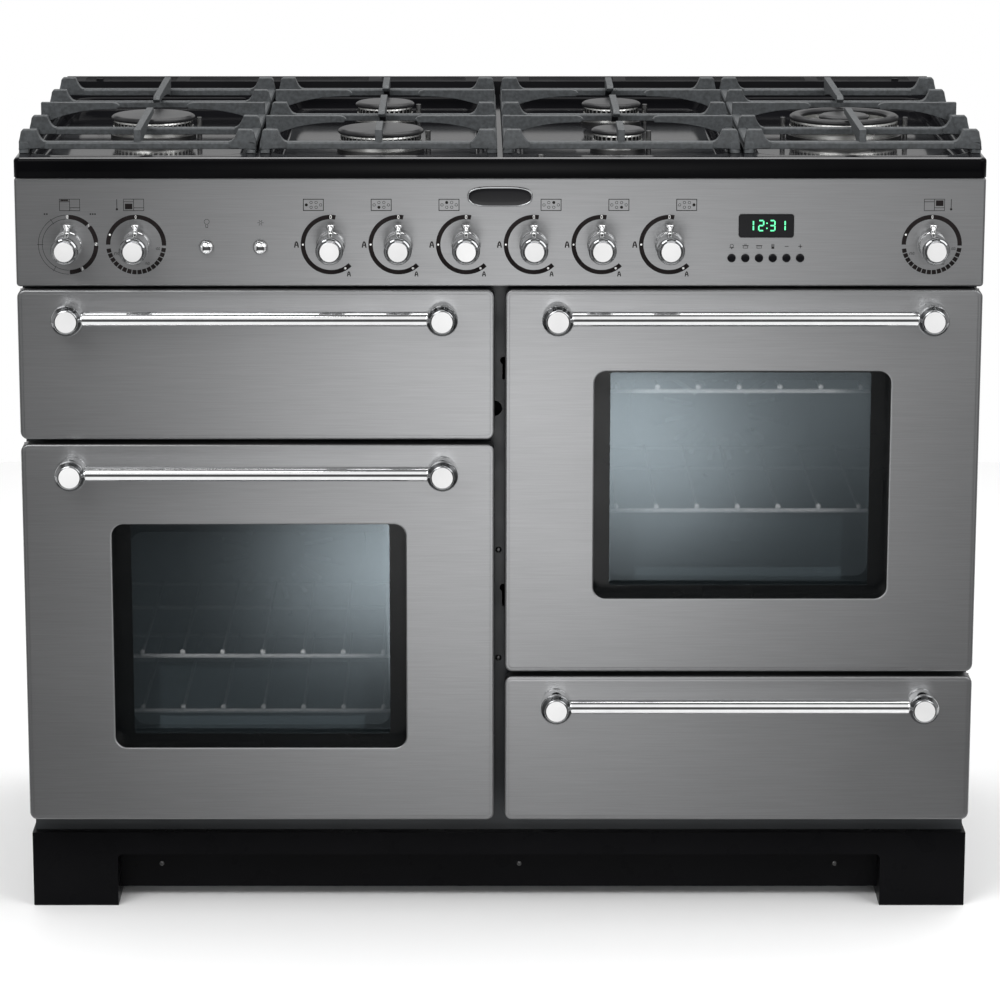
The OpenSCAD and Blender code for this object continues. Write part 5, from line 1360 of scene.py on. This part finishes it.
class COOKER_OT_hob(CookerPiece, bpy.types.Operator):
    """Press the hob plate with its rounded rim and four spill wells"""

    bl_idname = "cooker.hob"
    bl_label = "Hob plate"

    edge = 5 * MM
    corner = 8 * MM
    sheet = 3 * MM
    well_reach = (20 * MM, 529 * MM)
    well_corner = 34 * MM
    well_wall = 11 * MM
    line_step = 1.25 * MM

    def make(self):
        """The pressing's upper and lower face as one grid each, joined by rows round the rim."""
        half = (HOB_HIGH[:2] - HOB_LOW[:2]) / 2
        centre = middle("hob_plate")[:2]
        edge, corner, sheet = self.edge, self.corner, self.sheet
        inset = edge + 4 * MM
        flat = half - inset
        wells = [middle(grate)[0] for grate in GRATES]
        front, back = HOB_LOW[1] + np.array(self.well_reach)
        xs, ys = self.lines(flat, centre, wells, front, back)
        x, y = np.meshgrid(xs, ys)
        top = RIM_Z - self.depth(x, y, wells, front, back)
        upper = np.stack([x, y, top], -1)
        lower = np.stack([x, y, top - sheet], -1)
        surface = Surface().grid(upper, around=False).grid(lower, around=False)
        reach = (self.border(xs, ys) - centre) / flat

        def row(inward, z):
            """The border moved out to a distance inside the plate's edge, its corners rounded."""
            size = half - inward
            loop = reach * size
            radius = max(corner - inward, 0)
            core = size - radius
            over = np.abs(loop) - core
            bent = (over > 0).all(-1) & (radius > 0)
            scale = np.where(bent, radius / np.maximum(np.linalg.norm(over, axis=-1), 1e-9), 1)
            moved = np.sign(loop) * (core + over * np.minimum(scale, 1)[:, None])
            return lay(np.where(bent[:, None], moved, loop) + centre, z)

        bend = np.linspace(0, np.pi / 2, 8)
        rows = [(inset, RIM_Z), (edge + 0.6 * MM, RIM_Z)]
        rows += [(edge * (1 - math.sin(a)), RIM_Z - edge * (1 - math.cos(a))) for a in bend]
        rows += [(0, RIM_Z - edge - 0.5 * MM), (0, HOB_LOW[2] + 0.6 * MM), (0.5 * MM, HOB_LOW[2])]
        rows += [(sheet - 0.3 * MM, HOB_LOW[2]), (sheet, HOB_LOW[2] + 0.4 * MM)]
        rows += [(sheet, RIM_Z - sheet), (inset, RIM_Z - sheet)]
        height = np.array([z for _, z in rows])
        # Rows of the rounded edge take the more mirroring enamel, a painted highlight; rows of the lip
        # below it take the darker enamel, painted shade.
        bent = (height[1:] < RIM_Z - 0.0002 * MM) & (height[1:] > RIM_Z - 0.4 * edge)
        lip = height[1:] <= RIM_Z - 0.4 * edge
        surface.grid(np.stack([row(*r) for r in rows]), mark=np.where(lip, 2, bent)[:, None])
        enamels = ["gloss_enamel", "enamel_edge", "lip_enamel"]
        surface.piece("hob_pressing", ROOT, enamels, "gloss_enamel", ["hob_plate"], sharp=60)

    def lines(self, flat, centre, wells, front, back):
        """Grid lines, close together at the wells' walls and the outer corners."""
        inside, outside, step = self.well_corner, 5 * MM, self.line_step
        half = self.sizes.well_w / 2

        def near(edges, low, high):
            zones = [np.arange(e - (outside if s > 0 else inside), e + (inside if s > 0 else outside), step)
                     for e, s in edges]
            ends = [np.linspace(low, low + 8 * MM, 7), np.linspace(high - 8 * MM, high, 7)]
            filler = np.linspace(low, high, int((high - low) / (20 * MM)))
            every = np.concatenate(zones + ends + [filler])
            every = np.unique(np.round(every[(every >= low) & (every <= high)], 5))
            keep = np.concatenate([[True], np.diff(every) > 0.4 * MM])
            every = every[keep]
            every[-1] = high
            return every

        x_edges = [(w + s * half, -s) for w in wells for s in (-1, 1)]
        xs = near(x_edges, centre[0] - flat[0], centre[0] + flat[0])
        ys = near([(front, 1), (back, -1)], centre[1] - flat[1], centre[1] + flat[1])
        return xs, ys

    def depth(self, x, y, wells, front, back):
        """Depth of the pressing: a smooth step of the distance inside each well's rounded outline,
        d = min(max(qx, qy), 0) + |max(q, 0)| - r, with 3t^2 - 2t^3 over the wall."""
        sizes, r = self.sizes, self.well_corner
        total = np.zeros_like(x)
        for centre in wells:
            qx = np.abs(x - centre) - (sizes.well_w / 2 - r)
            qy = np.abs(y - (front + back) / 2) - ((back - front) / 2 - r)
            outside = np.hypot(np.maximum(qx, 0), np.maximum(qy, 0))
            d = np.minimum(np.maximum(qx, qy), 0) + outside - r
            t = np.clip(-d / self.well_wall, 0, 1)
            total += sizes.well_depth * t * t * (3 - 2 * t)
        return total

    def border(self, xs, ys):
        """The grid's outer points in order round it."""
        bottom = [(x, ys[0]) for x in xs[:-1]]
        right = [(xs[-1], y) for y in ys[:-1]]
        top = [(x, ys[-1]) for x in xs[:0:-1]]
        left = [(xs[0], y) for y in ys[:0:-1]]
        return np.array(bottom + right + top + left)


class COOKER_OT_burners(CookerPiece, bpy.types.Operator):
    """Turn the burner caps and the slotted crowns below them"""

    bl_idname = "cooker.burners"
    bl_label = "Burners"

    thick = 6
    wok_ring = 14
    wok_middle = 30
    slot_pitch = 6.3 * MM
    slot_deep = 2.2 * MM
    slot_share = 0.34
    points_to_pitch = 6
    margin = 6 * MM

    def make(self):
        base = corners("burner_caps")[0][2]
        low = corners("burner_heads")[0][2]
        lids, heads = Surface(), Surface()
        for x, y, r in self.places():
            if r > 60:
                self.ring_cap(lids, (x, y, base), r)
                self.head(heads, (x, y), r - 1, low, base, r - self.wok_ring + 2)
                r = self.wok_middle
            self.cap(lids, (x, y, base), r)
            self.head(heads, (x, y), r - 3, low, base)
        lids.piece("burner_lids", ROOT, ["cap_enamel"], "cap_enamel", ["burner_caps"])
        alloys = ["head_alloy", "soot"]
        heads.piece("burner_crowns", ROOT, alloys, "burner_alloy", ["burner_heads"], sharp=30)

    def head(self, surface, place, r, low, high, inner=0):
        """A turned head with gas slots: its radius is r less the slot depth wherever the angle's
        share of a pitch is under 0.34, between the lip below the cap and the skirt."""
        r = r * MM
        count = max(12, round(2 * math.pi * r / self.slot_pitch))
        steps = count * self.points_to_pitch
        slot = (np.arange(steps) % self.points_to_pitch) / self.points_to_pitch < self.slot_share
        tall = high - low
        rows = [(-3, 0, 0), (-2, 0.3, 0), (1.2, 0.45, 0), (0.6, 0.56, 0), (0, 0.57, 1), (0, 0.86, 1),
                (0, 0.87, 0), (-0.4, 1, 0)]
        ring = circle_loop(1, steps)
        loops = [lay(ring * np.where(slot & (cut > 0), r + out * MM - self.slot_deep, r + out * MM)[:, None]
                     + place, low + up * tall) for out, up, cut in rows]
        loops += [lay(ring * inner * MM + place, z) for z in (high, low)]
        marks = np.zeros((len(loops), steps), int)
        # Faces in and beside the slots take the near-black finish: painted shade in the slots' recesses.
        marks[4] = slot | np.roll(slot, -1)
        surface.grid(np.stack(loops), along=True, mark=marks)

    def places(self):
        """The six burners: across, along and cap radius in millimetres, from the pan supports' boxes."""
        xs = [middle(grate)[0] for grate in GRATES]
        low, high = corners(GRATES[0])
        front, back = low[1] + self.margin, high[1] - self.margin
        rows = [front + (back - front) / 4 * i for i in range(5)]
        return [
            (xs[0], rows[2], 50), (xs[1], rows[1], 50), (xs[1], rows[3], 36),
            (xs[2], rows[3], 36), (xs[2], rows[1], 31), (xs[3], rows[2], 65),
        ]

    def cap(self, surface, place, r):
        """A flat lid with a rounded shoulder, turned about the burner's axis."""
        t = self.thick
        profile = rounded_profile(
            [(0, 0), (r - 1.2, 0), (r, 1), (r, t - 2.6), (r - 3.4, t - 0.2), (0, t)], [0.6, 0.8, 2.2, 3], 6
        )
        surface.grid(turned(profile, 96) + place)

    def ring_cap(self, surface, place, r):
        """A flat ring with rounded shoulders, turned about the burner's axis."""
        t, w = self.thick, self.wok_ring
        profile = rounded_profile(
            [(r - w, 3), (r - w, 0), (r - 1, 0), (r, 1), (r, t - 2.5), (r - 3, t), (r - w + 3, t),
             (r - w, t - 2.5), (r - w, 3)],
            [0.3, 0.8, 0.8, 2, 2, 2, 2], 5,
        )
        surface.grid(turned(profile, 96) + place, along=True)


class COOKER_OT_pan_supports(CookerPiece, bpy.types.Operator):
    """Cast the four pan supports"""

    bl_idname = "cooker.pan_supports"
    bl_label = "Pan supports"

    rail_rise = 13.5 * MM
    foot = 5 * MM
    rail_w = 11 * MM
    finger_t = 8 * MM
    horn_w = 21.5 * MM
    horn_t = 12 * MM
    free = 40 * MM
    root = 10 * MM
    thin = 8 * MM
    hollow = 9 * MM

    def make(self):
        for index, node in enumerate(GRATES):
            self.grate(node, index in (0, 3))

    def run(self, section, far, along):
        """Points of a section (side, up) at a distance along an axis."""
        far = np.broadcast_to(far, section[:, 0].shape)
        side, up = section.T
        return np.stack((far, side, up) if along == "x" else (side, far, up), -1)

    def prism(self, surface, outline, thickness, place, along):
        """A side outline of (run, height) pairs, given a thickness across its run along an axis."""
        outline = np.asarray(outline, float)
        across = "y" if along == "x" else "x"
        loops = [self.run(outline, shift, across) for shift in (-thickness / 2, thickness / 2)]
        surface.closed(np.stack(loops) + [*place, 0])

    def rail(self, surface, start, end, width, along, offset):
        """A straight rail: its cross section is a rectangle with chamfered top edges."""
        low, top, c = self.low, self.top, 2 * MM
        w = width / 2
        section = [(-w, low), (w, low), (w, top - c), (w - c, top), (-w + c, top), (-w, top - c)]
        loops = [self.run(np.array(section) + [offset, 0], far, along) for far in (start, end)]
        surface.closed(np.stack(loops) + [self.x, self.y, 0])

    def finger(self, surface, start, end, along, offset):
        """A finger from its root to its tip: level top, rounded tip, and an underside that rises
        from the rail as low + rise * (1 - (1 - t)^2.4)."""
        length, way = abs(end - start), 1 if end > start else -1
        top, low = self.grate_z, self.low
        t = np.linspace(1, 0, 14)
        run = self.root + (length - 3 * MM - self.root) * t
        under = np.stack([run, low + (top - self.thin - low) * (1 - (1 - t) ** 2.4)], -1)
        side = [(0, low), (0, top), (length - 8 * MM, top), (length - 3 * MM, top - 1.2 * MM),
                (length, top - 4 * MM), *under]
        side = np.array(side) * [way, 1] + [start, 0]
        place = (self.x, self.y + offset) if along == "x" else (self.x + offset, self.y)
        self.prism(surface, side, self.finger_t, place, along)

    def horn(self, surface, s, y):
        """A raised block at the end of a cross line: a hollow curve up from the rail on its inner
        side, a short level top, and a leaning outer side."""
        half, top, rail, foot = self.half, self.grate_z, self.top, self.half - self.horn_w - self.hollow
        t = np.linspace(1, 0, 7)
        inner = np.stack([foot + self.hollow * t, rail + (top - rail - 4 * MM) * t**2.2], -1)
        side = [(foot, self.low + 1 * MM), (half, self.low), (half, rail), (half - 1.5 * MM, rail + 6 * MM),
                (half - 2.5 * MM, top - 2 * MM), (half - 4.5 * MM, top),
                (half - self.horn_w + 1.5 * MM, top), *inner]
        self.prism(surface, np.array(side) * [s, 1], self.horn_t, (self.x, self.y + y), "x")

    def grate(self, node, outer):
        """A frame of rails on four feet, with horns on its sides and fingers towards one burner
        (outer) or two; rows are the five cross lines from front to back."""
        low, high = corners(node)
        self.x, self.y = (low[0] + high[0]) / 2, low[1] + self.horn_t / 2
        self.half = (high[0] - low[0]) / 2
        self.low, self.grate_z = low[2] + self.foot, high[2]
        self.top = low[2] + self.rail_rise
        long = high[1] - low[1] - self.horn_t
        rows = [long / 4 * i for i in range(5)]
        side, overhang = self.half - self.rail_w / 2, self.horn_t / 2
        foot = rounded_loop(self.rail_w, self.horn_t, 1 * MM, 2)
        foot = np.stack([lay(foot, z) for z in (low[2], low[2] + self.foot + 1 * MM)])
        crossed, burners = ((1, 3), (2,)) if outer else ((2,), (1, 3))
        surface = Surface()
        for s in (-1, 1):
            self.rail(surface, rows[0] - overhang, rows[4] + overhang, self.rail_w, "y", s * side)
            for row in (0, 4):
                surface.closed(foot + [self.x + s * side, self.y + rows[row], 0])
            for row in sorted((0, 4) + crossed):
                self.horn(surface, s, rows[row])
            for row in burners:
                self.finger(surface, s * (self.half - 1 * MM), s * self.free, "x", rows[row])
        for row in (0, 4) + crossed:
            width = self.finger_t if row in crossed else self.rail_w
            self.rail(surface, -self.half, self.half, width, "x", rows[row])
        free, first, last = self.free, rows[0] - 4 * MM, rows[4] + 4 * MM
        spans = [(first, rows[2] - free), (last, rows[2] + free + 12 * MM)]
        if not outer:
            spans = [(first, rows[1] - free), (rows[2], rows[1] + free),
                     (rows[2], rows[3] - free), (last, rows[3] + free)]
        for start, end in spans:
            self.finger(surface, start, end, "y", 0)
        surface.piece(node + "_casting", node, ["cast_iron"], "cast_iron", [node],
                      sharp=30, bevel=self.sizes.cast_edge)


class COOKER_OT_small_parts(CookerPiece, bpy.types.Operator):
    """Fit the black screws, the ends of the shelf wires and the hob's spark-wire bung"""

    bl_idname = "cooker.small_parts"
    bl_label = "Small parts"

    shelf_levels = ((231.5 * MM, 298.5 * MM), (474 * MM, 616 * MM))
    wire_pitch = 47.25 * MM
    end_r = 3.2 * MM
    screws = (
        ("front_frame", 3.6, (-1, 430)), ("front_frame", 3.6, (-1, 300)),
        ("plinth", 2.8, (-398, 52)), ("plinth", 2.8, (24, 52)), ("plinth", 2.8, (396, 52)),
    )
    bung_r = 4.5 * MM

    def make(self):
        screws = Surface()
        for node, r, centre in self.screws:
            self.screw(screws, np.array(centre) * MM, corners(node)[0][1], r)
        screws.piece("black_screws", ROOT, ["black_screw"], "black_paint", sharp=40)
        self.wire_ends()
        angle = np.linspace(0, np.pi / 2, 10)
        profile = self.bung_r * on_circle(angle) * [1, 0.6]
        dome = turned(np.concatenate([[(0, 0)], profile]), 40)
        bung = Surface().grid(dome + [46 * MM, HOB_LOW[1] + 12 * MM, RIM_Z - 0.05 * MM])
        bung.piece("hob_bung", ROOT, ["black_screw"], "gloss_enamel", sharp=50)

    def wire_ends(self):
        """The turned-up front ends of the shelves' cross wires: a ball on each wire, in near-white paint as
        a painted glint.
        """
        front = corners("oven_furniture")[0][1]
        turn = np.linspace(0, np.pi, 9)
        ball = turned(self.end_r * np.stack([np.sin(turn), -np.cos(turn)], -1), 12)
        ends = Surface()
        for (glass, _), levels in zip(WINDOWS.values(), self.shelf_levels):
            for level in levels:
                for wire in range(-4, 5):
                    x = middle(glass)[0] + wire * self.wire_pitch
                    ends.grid(ball + [x, front + self.end_r, level + self.end_r])
        ends.piece("shelf_wire_ends", ROOT, ["wire_tip"], "bright_wire", sharp=60)

    def screw(self, surface, centre, plane, r):
        """A pan head turned about its axis."""
        profile = rounded_profile([(0, 0), (r, 0), (r, 0.9), (r * 0.6, 1.7), (0, 1.8)], [0.1, 0.8, 0.8], 4)
        surface.grid(facing_front(turned(profile, 36), centre, plane + 0.05 * MM))


OPERATORS = (
    COOKER_OT_finishes,
    COOKER_OT_fronts,
    COOKER_OT_windows,
    COOKER_OT_handles,
    COOKER_OT_knobs,
    COOKER_OT_buttons,
    COOKER_OT_prints,
    COOKER_OT_clock,
    COOKER_OT_badge,
    COOKER_OT_hob,
    COOKER_OT_burners,
    COOKER_OT_pan_supports,
    COOKER_OT_small_parts,
    COOKER_OT_stage,
)


class COOKER_PT_panel(bpy.types.Panel):
    """Lists the cooker's pieces in the sidebar"""

    bl_idname = "COOKER_PT_panel"
    bl_label = "Range cooker"
    bl_space_type = "VIEW_3D"
    bl_region_type = "UI"
    bl_category = "Cooker"

    def draw(self, context):
        for operator in OPERATORS:
            self.layout.operator(operator.bl_idname)
        for group in (context.scene.cooker_sizes, context.scene.cooker_colours):
            for name in type(group).__annotations__:
                self.layout.prop(group, name)


CLASSES = (CookerSizes, CookerColours) + OPERATORS + (COOKER_PT_panel,)


def register():
    for cls in CLASSES:
        bpy.utils.register_class(cls)
    bpy.types.Scene.cooker_sizes = bpy.props.PointerProperty(type=CookerSizes)
    bpy.types.Scene.cooker_colours = bpy.props.PointerProperty(type=CookerColours)


def unregister():
    del bpy.types.Scene.cooker_colours
    del bpy.types.Scene.cooker_sizes
    for cls in reversed(CLASSES):
        bpy.utils.unregister_class(cls)


def main():
    """Registers the add-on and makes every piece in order."""
    register()
    for operator in OPERATORS:
        group, name = operator.bl_idname.split(".")
        getattr(getattr(bpy.ops, group), name)()


if __name__ == "__main__":
    main()
